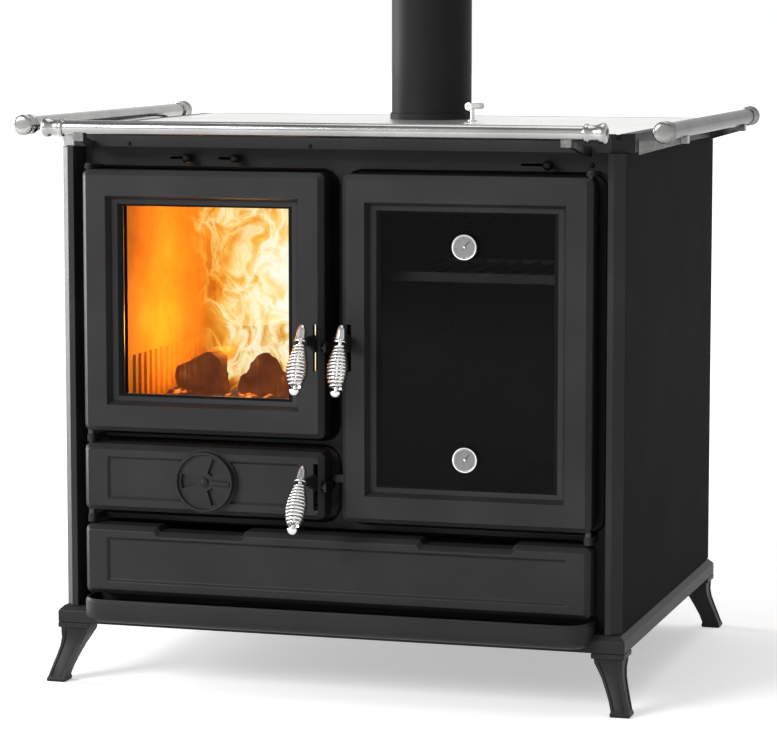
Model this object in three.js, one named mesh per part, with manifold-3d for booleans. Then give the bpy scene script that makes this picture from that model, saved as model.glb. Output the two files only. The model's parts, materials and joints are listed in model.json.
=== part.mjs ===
// Wood cookstove: firebox door, oven door, ash door, wood drawer, cooking plate, rails and flue.
// Millimetres, +Z up, +X to the right, +Y to the back. While it is built, X = 0 is the middle,
// Y = 0 the front of the base plate and Z = 0 the floor.
import * as THREE from 'three';
import { mergeVertices } from 'three/addons/utils/BufferGeometryUtils.js';
import Module from 'manifold-3d';

const wasm = await Module();
wasm.setup();

// ---- Clearances ----
const SEAT = 0.3; // between two pieces that touch
const BORE_PLAY = 0.5; // round a pin or shaft, on the radius

// ---- Body ----
const LEG_HEIGHT = 91;
const BASE_HALF = 450.8;
const BASE_DEPTH = 708;
const BASE_SKIRT = 18.5;
const BASE_CHAMFER = 8;
const BASE_RIM = 8;
const BASE_DECK = 4;
const BODY_INSET = 7.8;
const BODY_HALF = BASE_HALF - BODY_INSET;
const BODY_HEIGHT = 714.5;
const BODY_BACK = BASE_DEPTH - 3;
const SHEET = 3;
const BASE_TOP = LEG_HEIGHT + BASE_SKIRT + BASE_CHAMFER;
const FRAME_BOTTOM = BASE_TOP + BODY_HEIGHT;
const POST_FACE_Y = 6;
const POST_FACE_IN = BODY_HALF - 23.9;
const POST_FACE_OUT = BODY_HALF - 14.4;
const POST_DRAFT = 5.6;
const PANEL_FRONT_Y = 23.7;
const PANEL_STRIP = 74.4;
const PANEL_STEP = 1.2;

// ---- Front plate and its pockets ----
const PLATE_Y = 45;
const PLATE_THICK = 12;
const PLATE_BACK = PLATE_Y + PLATE_THICK;
const POCKET_OUT = 407.8;
const POCKET_TOP = 798.5;
const WEB_LEFT = -5.7;
const WEB_RIGHT = 9.3;
const FIRE_POCKET_BOTTOM = 389.8;
const ASH_POCKET_TOP = 377.5;
const LOW_POCKET_BOTTOM = 264.3;
const DRAWER_GAP_TOP = 248.8;
const DRAWER_GAP_BOTTOM = 142;
const DRAWER_GAP_HALF = 392;
const POCKET_RADIUS = 22;
const POCKET_LIP = 4;

// ---- Legs ----
const LEG_FLANGE = 51;
const LEG_SPLAY_X = 23;
const LEG_SPLAY_Y = 29;
const LEG_LUG = 30;
const LEG_FOOT_HALF = 15.5;

// ---- Ledge ----
const LEDGE_HALF = BASE_HALF - 48.8;
const LEDGE_FRONT = -37;
const LEDGE_TOP = 137;
const LEDGE_BOTTOM = 98;
const LEDGE_RADIUS = 40;
const LEDGE_RIM = 4.5;
const LEDGE_TROUGH = 12;

// ---- Top ----
const FRAME_HEIGHT = 28;
const FRAME_FRONT = 16;
const FRAME_BACK = BASE_DEPTH - 2;
const FRAME_FACET = 29.2;
const FRAME_RIM = 18.1;
const PLATE_HALF = BASE_HALF - FRAME_RIM;
const PLATE_FRONT = 22.3;
const PLATE_REAR = FRAME_BACK - 16;
const COOK_PLATE = 8;
const LEDGE_WIDTH = 12;
const TOP = FRAME_BOTTOM + FRAME_HEIGHT;

// ---- Flue and T-handle ----
const FLUE_Y = 545;
const FLUE_RADIUS = 66;
const FLUE_WALL = 2;
const FLUE_LENGTH = 250;
const COLLAR_WALL = 2.6;
const COLLAR_HEIGHT = 10;
const HANDLE_X = 95;
const HANDLE_Y = 450;
const HANDLE_POST_RADIUS = 3.75;
const HANDLE_BAR_HEIGHT = 24;
const HANDLE_BAR_RADIUS = 5.5;
const HANDLE_BAR_LENGTH = 40;
const HANDLE_TURN = 16;
const FLAP_WIDTH = 120;
const FLAP_HEIGHT = 30;
const FLAP_DROP = 44;

// ---- Doors and drawer ----
const DOOR_FACE = -12.9;
const DOOR_EDGE = -3.9;
const DOOR_BEVEL = 7.8;
const DOOR_BACK = 30;
const DOOR_WALL = 6;
const DOOR_HINGE_WALL = 14;
const DOOR_PLATE = 10;
const DOOR_OUT = 399.8;
const DOOR_RADIUS = 9;
const FIRE_DOOR = { x0: -DOOR_OUT, x1: -12.7, z0: 396.4, z1: 797.7 };
const OVEN_DOOR = { x0: 16.3, x1: DOOR_OUT, z0: 272, z1: 796.5 };
const ASH_DOOR = { x0: -DOOR_OUT, x1: -12.7, z0: 273, z1: 376 };
const FIRE_WINDOW = { x0: -360.7, x1: -50.9, z0: 437.5, z1: 758.5 };
const OVEN_WINDOW = { x0: 52.6, x1: 361.2, z0: 313.2, z1: 755.7 };
const ASH_PANEL = { x0: -361, x1: -50, z0: 291.5, z1: 357.8 };
const PANEL_SUNK = 4;
// window moulding from the face inwards: [inset to the side, inset up and down, depth]
const MOULDING = [[0, 0, 0], [6, 5.5, 12.5], [14, 12.5, 14], [21, 16, 18]];
const COLLAR_AROUND = 4;
const GLASS_THICK = 4;
const GLASS_LAP = 9;
const RETAINER_THICK = 3;
const DRAWER = { x0: -400, x1: 400, z0: 142, z1: 250 };
const DRAWER_PANEL = { x0: -362.9, x1: 365.1, z0: 161.8, z1: 231.5 };
const DRAWER_FRONT_BACK = 30;
const PULLS = [[-280, -142], [140, 282]];
const PULL_DROP = 7.6;
const PULL_SLANT = 6;

// ---- Hinges ----
const HINGE_X = 393.5;
const HINGE_Y = 5;
const PIN_RADIUS = 3.5;
const PIN_SHOULDER = 5.2;
const PIN_HEAD = 5.5;
const LUG_HALF = 6.5;
const LUG_TOP = { z0: 798.7, z1: 804.2 };
const LUG_MIDDLE = { z0: 378, z1: 388.7 };
const LUG_LOW = { z0: 252.5, z1: 264 };

// ---- Latches, grips and catches ----
const PIVOT_Y = -4;
const LEVER_THICK = 5.4;
const SLOT_WIDTH = 7.4;
const SLOT_TALL = 71;
const PIVOT_RADIUS = 4;
const COUNTERBORE = 7;
const TONGUE_THICK = 4;
const TONGUE_OFF = 0.5;
const LATCHES = {
  fire: { slot: -24.3, pivot: 535.3, tilt: 23 },
  oven: { slot: 28.3, pivot: 536.7, tilt: 18.5 },
  ash: { slot: -24.3, pivot: 323.5, tilt: 30 },
};
const GRIP_OUT = 56.5; // grip top in front of the pivot
const GRIP_UP = 39; // grip top above the pivot
const GRIP_ASIDE = 4.4; // grip axis to the hinge side of the lever
const GRIP_LENGTH = 110;
const FERRULE_LENGTH = 24;
const FERRULE_TOP = 4.5;
const FERRULE_FOOT = 8.5;
const GRIP_COLLAR = 10;
const GRIP_COLLAR_TALL = 3;
const GRIP_ROD = 3;
const GRIP_TIP = 8.6;
const GRIP_TIP_TALL = 9;
const WIRE = 2; // radius of the spring wire
const COILS = 12;
const COIL_END = 7;
const COIL_BELLY = 14.4;
const CATCH_Y0 = 24;
const CATCH_HALF = 6;
const CATCH_PIN_Y = 30;
const CATCH_PIN_RADIUS = 3;
const CATCH_PIN_OUT = 4.2;

// ---- Air wheel, thermometers and knobs ----
const WHEEL_X = -200.5;
const WHEEL_Z = 325;
const WHEEL_RADIUS = 46.4;
const WHEEL_DISC = 5;
const WHEEL_RIM = 10;
const WHEEL_RIM_WIDTH = 4;
const WHEEL_BOSS = 50;
const WHEEL_SHAFT = 3.8;
const WHEEL_HUB = 7;
const WEDGE_IN = 14;
const WEDGE_OUT = 38;
const WEDGES = [52, 180, -55];
const WEDGE_HALF = 18;
const WHEEL_SHIFT = 48;
const DIAL_RADIUS = 19.9;
const DIAL_DEPTH = 10;
const DIAL_STEM = 3;
const DIALS = { upper: [204.5, 691], lower: [206, 373] };
const KNOB_RADIUS = 8;
const KNOB_OUT = 24;
const KNOB_NECK = 3.2;
const KNOB_FLANGE = 5.5;
const KNOB_STEM = 3;
const KNOB_PLAY = 0.5;
const SLIDES = {
  air_left: { x: -242.4, z: 815, end: -274.9 },
  air_middle: { x: -164.8, z: 815, end: -197.1 },
  damper: { x: 323.1, z: 812, end: 278.9 },
};

// ---- Firebox, ash box and oven ----
const FLANGE = 3.5;
const FIRE_CAVITY = { x0: -352, x1: -46, z0: 430, z1: 776, back: 450 };
const LINER_WALL = 12;
const LINER_FLOOR = 24;
const RIB_PITCH = 24;
const RIB_WIDTH = 11;
const RIB_OUT = 4;
const RIB_TOP = 505;
const GRATE = { x0: -300, x1: -100, y0: 110, y1: 400 };
const GRATE_THICK = 12;
const GRATE_LEDGE = 10;
const GRATE_SLOT = 8;
const GRATE_BAR = 14;
const ASH_CAVITY = { x0: -374, x1: -34, z0: 284, z1: 366, back: 430 };
const PAN_HEIGHT = 58;
const PAN_SIDE = 10;
const PAN_FRONT = 66;
const PAN_BACK = 415;
const PAN_WALL = 2;
const OVEN_CAVITY = { x0: 55, x1: 371, z0: 302, z1: 770, back: 480 };
const OVEN_WALL = 2.5;
const RUNNER_Z = [632, 520];
const RUNNER_OUT = 14;
const RUNNER_TALL = 4;
const RACK_SIDE = 8;
const RACK_BAR = 6;
const RACK_FRONT_TALL = 14;
const RACK_FRONT_Y = 72;
const RACK_BACK_Y = 440;
const RACK_RODS = 9;
const BOX_HALF = 380;
const BOX_BOTTOM = 148;
const BOX_TOP = 238;
const BOX_BACK = 600;
const BOX_WALL = 1.5;
const RUNNER_X = 350;
const RUNNER_WIDTH = 20;
const GLIDE_LENGTH = 40;

// ---- Rails ----
const FRONT_RAIL = { y: -71.8, z: 864.4, half: BASE_HALF - 14.8, radius: 11, cap: 15.5 };
const SIDE_RAIL = { x: BASE_HALF + 50.2, z: 863.7, y0: 0, y1: 725.6, radius: 12.5, cap: 16.6 };
const BRACKET_THICK = 6;
const FOOT_HALF = 8;
const FOOT_TALL = 9;
const FRONT_BRACKET_X = FRONT_RAIL.half - 60;
const SIDE_BRACKET_FRONT = { foot: 152, root: 72 };
const SIDE_BRACKET_REAR = { foot: 633, root: 640 };

// ---- Shape helpers ----

// A closed solid through outlines of the same number of points, each at its own level along an
// axis. Outlines hold [x, y] for axis z, [x, z] for axis y and [y, z] for axis x.
function stack(axis, levels) {
  const count = levels[0][1].length;
  const positions = [];
  for (const [level, outline] of levels) {
    for (const [u, v] of outline) {
      if (axis === 'x') positions.push(level, u, v);
      else if (axis === 'y') positions.push(u, level, v);
      else positions.push(u, v, level);
    }
  }
  const index = [];
  for (let ring = 0; ring + 1 < levels.length; ring += 1) {
    for (let i = 0; i < count; i += 1) {
      const a = ring * count + i;
      const b = ring * count + ((i + 1) % count);
      index.push(a, b, b + count, a, b + count, a + count);
    }
  }
  const turn = Math.sign(THREE.ShapeUtils.area(levels[0][1].map(([u, v]) => new THREE.Vector2(u, v))));
  for (const end of [0, levels.length - 1]) {
    const flat = levels[end][1].map(([u, v]) => new THREE.Vector2(u, v));
    for (const face of THREE.ShapeUtils.triangulateShape(flat, [])) {
      const area = THREE.ShapeUtils.area(face.map((i) => flat[i]));
      const keep = (area > 0) === ((end > 0) === (turn > 0));
      const [a, b, c] = keep ? face : [face[0], face[2], face[1]];
      index.push(end * count + a, end * count + b, end * count + c);
    }
  }
  const geometry = new THREE.BufferGeometry();
  geometry.setAttribute('position', new THREE.Float32BufferAttribute(positions, 3));
  geometry.setIndex(index);
  return outward(geometry);
}

// Merges the points of a geometry, drops faces without area and turns every face outwards.
function outward(source) {
  const bare = source.clone();
  bare.deleteAttribute('normal');
  bare.deleteAttribute('uv');
  const merged = mergeVertices(bare, 1e-4);
  const p = merged.attributes.position;
  const a = new THREE.Vector3();
  const b = new THREE.Vector3();
  const c = new THREE.Vector3();
  const kept = [];
  let volume = 0;
  for (let i = 0; i < merged.index.count; i += 3) {
    const face = [0, 1, 2].map((k) => merged.index.getX(i + k));
    if (face[0] === face[1] || face[1] === face[2] || face[0] === face[2]) continue;
    a.fromBufferAttribute(p, face[0]);
    b.fromBufferAttribute(p, face[1]);
    c.fromBufferAttribute(p, face[2]);
    volume += a.dot(b.cross(c));
    kept.push(face);
  }
  const order = volume < 0 ? [0, 2, 1] : [0, 1, 2];
  merged.setIndex(kept.flatMap((face) => order.map((k) => face[k])));
  return merged;
}

function solid(geometry) {
  const closed = outward(geometry);
  const vertProperties = new Float32Array(closed.attributes.position.array);
  const triVerts = new Uint32Array(closed.index.array);
  return new wasm.Manifold(new wasm.Mesh({ numProp: 3, vertProperties, triVerts }));
}

function surface(body) {
  const mesh = body.getMesh();
  const geometry = new THREE.BufferGeometry();
  geometry.setAttribute('position', new THREE.Float32BufferAttribute(mesh.vertProperties, 3));
  geometry.setIndex([...mesh.triVerts]);
  return geometry;
}

function join(first, ...others) {
  return surface(others.reduce((body, other) => body.add(solid(other)), solid(first)));
}

function cut(first, ...others) {
  return surface(others.reduce((body, other) => body.subtract(solid(other)), solid(first)));
}

function rectangle(u0, u1, v0, v1) {
  return [[u0, v0], [u1, v0], [u1, v1], [u0, v1]];
}

// A rectangle with round corners, each drawn with the given number of steps.
function rounded(u0, u1, v0, v1, radius, steps = 3) {
  const corners = [[u1 - radius, v0 + radius, -90], [u1 - radius, v1 - radius, 0],
    [u0 + radius, v1 - radius, 90], [u0 + radius, v0 + radius, 180]];
  const outline = [];
  for (const [u, v, start] of corners) {
    for (let i = 0; i <= steps; i += 1) {
      const angle = THREE.MathUtils.degToRad(start + (90 * i) / steps);
      outline.push([u + radius * Math.cos(angle), v + radius * Math.sin(angle)]);
    }
  }
  return outline;
}

function block(x0, x1, y0, y1, z0, z1) {
  return stack('z', [[z0, rectangle(x0, x1, y0, y1)], [z1, rectangle(x0, x1, y0, y1)]]);
}

function circle(u, v, radius, count = 16) {
  return Array.from({ length: count }, (_, i) => {
    const angle = (2 * Math.PI * (i + 0.5)) / count;
    return [u + radius * Math.cos(angle), v + radius * Math.sin(angle)];
  });
}

function disc(axis, u, v, radius, w0, w1, count = 16) {
  return stack(axis, [[w0, circle(u, v, radius, count)], [w1, circle(u, v, radius, count)]]);
}

// A turned piece: the profile holds [radius, distance along the axis].
function turned(axis, profile, count = 16) {
  const points = profile.map(([radius, along]) => new THREE.Vector2(radius, along));
  const geometry = new THREE.LatheGeometry(points, count);
  if (axis === 'z') geometry.rotateX(Math.PI / 2);
  if (axis === 'x') geometry.rotateZ(-Math.PI / 2);
  return outward(geometry);
}

// ---- The stove's scene graph ----
const group = new THREE.Group();
const stove = new THREE.Group();
group.add(stove);

const FINISH = {
  black: { color: 0x1b1b1c, roughness: 0.55, metalness: 0.35 },
  iron: { color: 0x232323, roughness: 0.7, metalness: 0.4 },
  steel: { color: 0xc9c8c5, roughness: 0.3, metalness: 1 },
  chrome: { color: 0xd4d4d2, roughness: 0.18, metalness: 1 },
  sheet: { color: 0x3a3a3a, roughness: 0.5, metalness: 0.8 },
  glass: { color: 0x1a1a1a, roughness: 0.05, metalness: 0 },
  dial: { color: 0x9a9a98, roughness: 0.4, metalness: 0.6 },
};

function add(name, geometry, finish, parent = stove, at = [0, 0, 0]) {
  const shaded = geometry.index ? geometry.toNonIndexed() : geometry;
  shaded.computeVertexNormals();
  const mesh = new THREE.Mesh(shaded, new THREE.MeshStandardMaterial(FINISH[finish]));
  mesh.name = name;
  mesh.position.set(...at);
  parent.add(mesh);
  return mesh;
}

// ---- Base plate: a cast pan, open below, with a chamfer round its top ----
function basePlate() {
  const edge = rectangle(-BASE_HALF, BASE_HALF, 0, BASE_DEPTH);
  const inset = BASE_CHAMFER;
  const deck = rectangle(-BASE_HALF + inset, BASE_HALF - inset, inset, BASE_DEPTH - inset);
  const body = stack('z', [[LEG_HEIGHT, edge], [LEG_HEIGHT + BASE_SKIRT, edge], [BASE_TOP, deck]]);
  const hollow = block(-BASE_HALF + BASE_RIM, BASE_HALF - BASE_RIM, BASE_RIM, BASE_DEPTH - BASE_RIM,
    LEG_HEIGHT - 1, BASE_TOP - BASE_DECK);
  return cut(body, hollow);
}
add('base_plate', basePlate(), 'black');

// ---- Legs: splayed, with a flange under the base's corner and a sunk panel on both outer faces ----
// Points run round a square; d is the distance in from the base's corner, along X and along Y.
function legSection(dx, dy, half, sunk) {
  const rim = half * 0.3;
  return [
    [dx - half, dy - half], [dx - half + rim, dy - half], [dx - half + rim + 1, dy - half + sunk],
    [dx, dy - half + sunk * 0.4], [dx + half - rim - 1, dy - half + sunk], [dx + half - rim, dy - half],
    [dx + half, dy - half], [dx + half, dy + half], [dx - half, dy + half],
    [dx - half, dy + half - rim], [dx - half + sunk, dy + half - rim - 1],
    [dx - half + sunk * 0.4, dy], [dx - half + sunk, dy - half + rim + 1], [dx - half, dy - half + rim],
  ];
}

function leg(sideX, sideY) {
  const flange = LEG_FLANGE / 2;
  const top = LEG_HEIGHT - SEAT;
  const lugTop = BASE_TOP - BASE_DECK - SEAT;
  const lug = BASE_RIM + SEAT + LEG_LUG / 2;
  const levels = [[lugTop, lug, lug, LEG_LUG / 2, 0], [top, lug, lug, LEG_LUG / 2, 0],
    [top, flange, flange, flange, 0], [top - 7.5, flange, flange, flange, 0]];
  // shank: [height, share of the splay, half width, sunk panel]
  const shank = [[82.5, 0, 22, 0], [76, 0.02, 21.5, 2], [66, 0.12, 18.5, 2], [54, 0.3, 16, 2],
    [38, 0.55, 14.6, 2], [22, 0.8, 13.8, 2], [9, 0.97, 13.8, 1.6], [7.5, 0.98, 14, 0],
    [4, 1, LEG_FOOT_HALF, 0], [0, 1, LEG_FOOT_HALF - 0.8, 0]];
  for (const [z, share, half, sunk] of shank) {
    levels.push([z, flange - LEG_SPLAY_X * share, flange - LEG_SPLAY_Y * share, half, sunk]);
  }
  return stack('z', levels.reverse().map(([z, dx, dy, half, sunk]) => {
    const outline = legSection(dx, dy, half, sunk);
    return [z, outline.map(([u, v]) => [sideX * (BASE_HALF - u), sideY > 0 ? BASE_DEPTH - v : v])];
  }));
}
add('leg_front_left', leg(-1, -1), 'black');
add('leg_front_right', leg(1, -1), 'black');
add('leg_rear_left', leg(-1, 1), 'black');
add('leg_rear_right', leg(1, 1), 'black');

// ---- Hearth ledge: a rounded lip in front of the base with a shallow trough in its top ----
function ledge() {
  const rear = PLATE_Y - SEAT;
  const front = -SEAT;
  const seatTop = BASE_TOP + SEAT;
  const outline = (inset, y0, y1) => {
    const radius = LEDGE_RADIUS - inset;
    const points = [[LEDGE_HALF - inset, y1], [-LEDGE_HALF + inset, y1]];
    for (const [side, start] of [[-1, 180], [1, 270]]) {
      for (let i = 0; i <= 6; i += 1) {
        const angle = THREE.MathUtils.degToRad(start + 15 * i);
        const reach = Math.min(radius, y1 - y0 - 1);
        points.push([side * (LEDGE_HALF - inset - radius) + radius * Math.cos(angle),
          y0 + reach + reach * Math.sin(angle)]);
      }
    }
    return points;
  };
  const f = LEDGE_FRONT;
  const skirtTop = LEG_HEIGHT + BASE_SKIRT;
  const chamferTop = BASE_CHAMFER - SEAT;
  const body = stack('z', [
    [LEDGE_BOTTOM, outline(16, f + 26, front)],
    [LEDGE_BOTTOM + 1.5, outline(10, f + 15, front)],
    [LEDGE_BOTTOM + 5, outline(4, f + 6, front)],
    [skirtTop - SEAT, outline(0.6, f + 1, front)],
    [seatTop, outline(0, f, front + chamferTop)],
    [seatTop, outline(0, f, rear)],
    [LEDGE_TOP - 4, outline(0, f, rear)],
    [LEDGE_TOP - 3.4, outline(1.4, f + 1.4, rear)],
    [LEDGE_TOP, outline(1.8, f + 1.8, rear)],
  ]);
  const trough = (z) => [z, outline(LEDGE_RIM + 1, f + LEDGE_RIM + 1, rear - LEDGE_RIM)];
  return cut(body, stack('z', [trough(LEDGE_TOP - LEDGE_TROUGH), trough(LEDGE_TOP + 1)]));
}
add('hearth_ledge', ledge(), 'black');

// ---- Side and back panels ----
function sidePanel(side) {
  const inner = BODY_HALF - SHEET;
  const step = BODY_BACK - PANEL_STRIP;
  const outline = [[inner, PANEL_FRONT_Y], [BODY_HALF, PANEL_FRONT_Y], [BODY_HALF, step],
    [BODY_HALF - PANEL_STEP, step + PANEL_STEP], [BODY_HALF - PANEL_STEP, BODY_BACK], [inner, BODY_BACK]];
  const placed = outline.map(([x, y]) => [side * x, y]);
  return stack('z', [[BASE_TOP + SEAT, placed], [FRAME_BOTTOM - SEAT, placed]]);
}
add('side_panel_left', sidePanel(-1), 'black');
add('side_panel_right', sidePanel(1), 'black');
const INSIDE = BODY_HALF - SHEET - SEAT;
add('back_panel', block(-INSIDE, INSIDE, BODY_BACK - SHEET, BODY_BACK, BASE_TOP + SEAT,
  FRAME_BOTTOM - SEAT), 'black');

// ---- Front corner posts: flat face, outer facet and a drafted inner wall ----
function cornerPost(side) {
  const outline = [[POST_FACE_IN, POST_FACE_Y], [POST_FACE_OUT, POST_FACE_Y],
    [BODY_HALF, PANEL_FRONT_Y - SEAT], [INSIDE, PANEL_FRONT_Y - SEAT], [INSIDE, PLATE_Y - SEAT],
    [POST_FACE_IN - POST_DRAFT, PLATE_Y - SEAT]];
  const placed = outline.map(([x, y]) => [side * x, y]);
  return stack('z', [[BASE_TOP + SEAT, placed], [FRAME_BOTTOM - SEAT, placed]]);
}
add('corner_post_left', cornerPost(-1), 'black');
add('corner_post_right', cornerPost(1), 'black');

// ---- Front plate: four pockets with rounded lips, three pairs of hinge lugs, slots for the knobs ----
function pocket(x0, x1, z0, z1) {
  const lip = POCKET_LIP;
  const hole = rounded(x0, x1, z0, z1, POCKET_RADIUS);
  const mouth = rounded(x0 - lip, x1 + lip, z0 - lip, z1 + lip, POCKET_RADIUS + lip);
  return stack('y', [[PLATE_Y - 1, mouth], [PLATE_Y, mouth], [PLATE_Y + lip, hole], [PLATE_BACK + 1, hole]]);
}

function lug(side, { z0, z1 }) {
  const half = LUG_HALF;
  const x = side * HINGE_X;
  const body = join(block(x - half, x + half, HINGE_Y, PLATE_Y + 4, z0, z1),
    disc('z', x, HINGE_Y, half, z0, z1, 12));
  return cut(body, disc('z', x, HINGE_Y, PIN_RADIUS + BORE_PLAY, z0 - 1, z1 + 1, 12));
}

function frontPlate() {
  const plate = block(-INSIDE, INSIDE, PLATE_Y, PLATE_BACK, BASE_TOP + SEAT, FRAME_BOTTOM - SEAT);
  const slots = Object.values(SLIDES).map(({ x, z, end }) => {
    const play = KNOB_STEM / 2 + KNOB_PLAY;
    return block(end, x + play, PLATE_Y - 1, PLATE_BACK + 1, z - play, z + play);
  });
  const holes = [
    pocket(-POCKET_OUT, WEB_LEFT, FIRE_POCKET_BOTTOM, POCKET_TOP),
    pocket(-POCKET_OUT, WEB_LEFT, LOW_POCKET_BOTTOM, ASH_POCKET_TOP),
    pocket(WEB_RIGHT, POCKET_OUT, LOW_POCKET_BOTTOM, POCKET_TOP),
    pocket(-DRAWER_GAP_HALF, DRAWER_GAP_HALF, DRAWER_GAP_BOTTOM, DRAWER_GAP_TOP),
  ];
  const open = cut(plate, ...holes, ...slots);
  return join(open, lug(-1, LUG_TOP), lug(1, LUG_TOP), lug(-1, LUG_MIDDLE), lug(-1, LUG_LOW),
    lug(1, LUG_LOW));
}
add('front_plate', frontPlate(), 'black');

// ---- Top frame and cooking plate ----
const PLATE_SEAT = TOP - COOK_PLATE - SEAT;
function topFrame() {
  const w = BASE_HALF;
  const c = FRAME_FACET;
  const outline = [[-w + c, FRAME_FRONT], [w - c, FRAME_FRONT], [w, FRAME_FRONT + c],
    [w, FRAME_BACK - c], [w - c, FRAME_BACK], [-w + c, FRAME_BACK], [-w, FRAME_BACK - c],
    [-w, FRAME_FRONT + c]];
  const body = stack('z', [[FRAME_BOTTOM, outline], [TOP, outline]]);
  const half = PLATE_HALF + SEAT;
  const rebate = block(-half, half, PLATE_FRONT - SEAT, PLATE_REAR + SEAT, PLATE_SEAT, TOP + 1);
  const lap = LEDGE_WIDTH;
  const opening = block(-half + lap, half - lap, PLATE_FRONT + lap, PLATE_REAR - lap,
    FRAME_BOTTOM - 1, TOP + 1);
  return cut(body, rebate, opening);
}
add('top_frame', topFrame(), 'black');

function cookingPlate() {
  const body = block(-PLATE_HALF, PLATE_HALF, PLATE_FRONT, PLATE_REAR, TOP - COOK_PLATE, TOP);
  const flue = disc('z', 0, FLUE_Y, FLUE_RADIUS - FLUE_WALL, TOP - COOK_PLATE - 1, TOP + 1, 32);
  const spindle = disc('z', HANDLE_X, HANDLE_Y, HANDLE_POST_RADIUS + BORE_PLAY,
    TOP - COOK_PLATE - 1, TOP + 1, 12);
  return cut(body, flue, spindle);
}
add('cooking_plate', cookingPlate(), 'steel');

// ---- Flue collar and pipe ----
function ring(inner, outer, z0, z1, count) {
  return turned('z', [[inner, z0], [outer, z0], [outer, z1], [inner, z1], [inner, z0]], count);
}
add('flue_collar', ring(FLUE_RADIUS + SEAT, FLUE_RADIUS + COLLAR_WALL, TOP + SEAT,
  TOP + COLLAR_HEIGHT, 36), 'black', stove, [0, FLUE_Y, 0]);
add('flue_pipe', ring(FLUE_RADIUS - FLUE_WALL, FLUE_RADIUS, TOP + SEAT, TOP + FLUE_LENGTH, 36),
  'black', stove, [0, FLUE_Y, 0]);

// ---- T-handle, its post and the bypass flap below the cooking plate ----
const bypass = new THREE.Group();
bypass.position.set(HANDLE_X, HANDLE_Y, 0);
bypass.rotation.z = THREE.MathUtils.degToRad(-HANDLE_TURN);
stove.add(bypass);
function bypassHandle() {
  const z = TOP + HANDLE_BAR_HEIGHT;
  const r = HANDLE_BAR_RADIUS;
  const front = -HANDLE_POST_RADIUS - 6;
  const grip = turned('y', [[0, front], [r - 1, front], [r, front + 1], [r, front + HANDLE_BAR_LENGTH - 1],
    [r - 1, front + HANDLE_BAR_LENGTH], [0, front + HANDLE_BAR_LENGTH]], 12).translate(0, 0, z);
  const eye = turned('y', [[0, front - 4], [r + 1, front - 4], [r + 1, front + 1], [0, front + 1]], 12)
    .translate(0, 0, z);
  const post = turned('z', [[0, PLATE_SEAT - 2], [HANDLE_POST_RADIUS, PLATE_SEAT - 2],
    [HANDLE_POST_RADIUS, z], [0, z]], 12);
  const washer = turned('z', [[0, TOP + SEAT], [8, TOP + SEAT], [8, TOP + 2], [0, TOP + 2]], 12);
  const hole = disc('y', 0, z, 2.2, front - 5, front - 1.5, 8);
  return cut(join(grip, eye, post, washer), hole);
}
add('bypass_handle', bypassHandle(), 'chrome', bypass);
function bypassFlap() {
  const top = PLATE_SEAT - 2 - SEAT;
  const hub = turned('z', [[0, top - FLAP_DROP], [7, top - FLAP_DROP], [7, top], [0, top]], 12);
  const blade = block(-FLAP_WIDTH / 2, FLAP_WIDTH / 2, -1.5, 1.5, top - FLAP_DROP,
    top - FLAP_DROP + FLAP_HEIGHT);
  return join(hub, blade);
}
add('bypass_flap', bypassFlap(), 'iron', bypass);

// ---- Firebox liner: cast box, ribbed low down, with a front flange, grate seat and smoke outlet ----
function fireboxLiner() {
  const c = FIRE_CAVITY;
  const w = LINER_WALL;
  const floor = c.z0 - LINER_FLOOR;
  const body = join(
    block(c.x0 - w, c.x1 + w, PLATE_BACK + SEAT, c.back + w, floor, c.z1 + w),
    block(-POCKET_OUT - 10, (WEB_LEFT + WEB_RIGHT) / 2 - SEAT, PLATE_BACK + SEAT,
      PLATE_BACK + SEAT + FLANGE, (FIRE_POCKET_BOTTOM + ASH_POCKET_TOP) / 2 + SEAT, POCKET_TOP + 5),
  );
  const plan = [];
  const from = PLATE_BACK + 20;
  const sideRibs = Math.floor((c.back - from - RIB_WIDTH) / RIB_PITCH);
  const backRibs = Math.floor((c.x1 - c.x0 - 2 * RIB_WIDTH) / RIB_PITCH);
  plan.push([c.x0, PLATE_BACK - 5], [c.x1, PLATE_BACK - 5]);
  for (let i = 0; i < sideRibs; i += 1) {
    const y = from + i * RIB_PITCH;
    plan.push([c.x1, y], [c.x1 - RIB_OUT, y + 3], [c.x1 - RIB_OUT, y + RIB_WIDTH - 3], [c.x1, y + RIB_WIDTH]);
  }
  plan.push([c.x1, c.back]);
  for (let i = 0; i < backRibs; i += 1) {
    const x = c.x1 - RIB_PITCH * (i + 0.6);
    plan.push([x, c.back], [x - 3, c.back - RIB_OUT], [x - RIB_WIDTH + 3, c.back - RIB_OUT],
      [x - RIB_WIDTH, c.back]);
  }
  plan.push([c.x0, c.back]);
  for (let i = sideRibs - 1; i >= 0; i -= 1) {
    const y = from + i * RIB_PITCH;
    plan.push([c.x0, y + RIB_WIDTH], [c.x0 + RIB_OUT, y + RIB_WIDTH - 3], [c.x0 + RIB_OUT, y + 3], [c.x0, y]);
  }
  const ribbed = stack('z', [[c.z0, plan], [RIB_TOP, plan]]);
  const smooth = block(c.x0, c.x1, PLATE_BACK - 5, c.back, RIB_TOP, c.z1);
  const seat = block(GRATE.x0, GRATE.x1, GRATE.y0, GRATE.y1, c.z0 - GRATE_THICK - 2, c.z0 + 1);
  const chute = block(GRATE.x0 + GRATE_LEDGE, GRATE.x1 - GRATE_LEDGE, GRATE.y0 + GRATE_LEDGE,
    GRATE.y1 - GRATE_LEDGE, floor - 1, c.z0);
  const outlet = block(c.x0 + 30, c.x1 - 30, c.back - 190, c.back - 20, c.z1 - 1, c.z1 + w + 1);
  return cut(body, ribbed, smooth, seat, chute, outlet);
}
add('firebox_liner', fireboxLiner(), 'iron');

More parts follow.
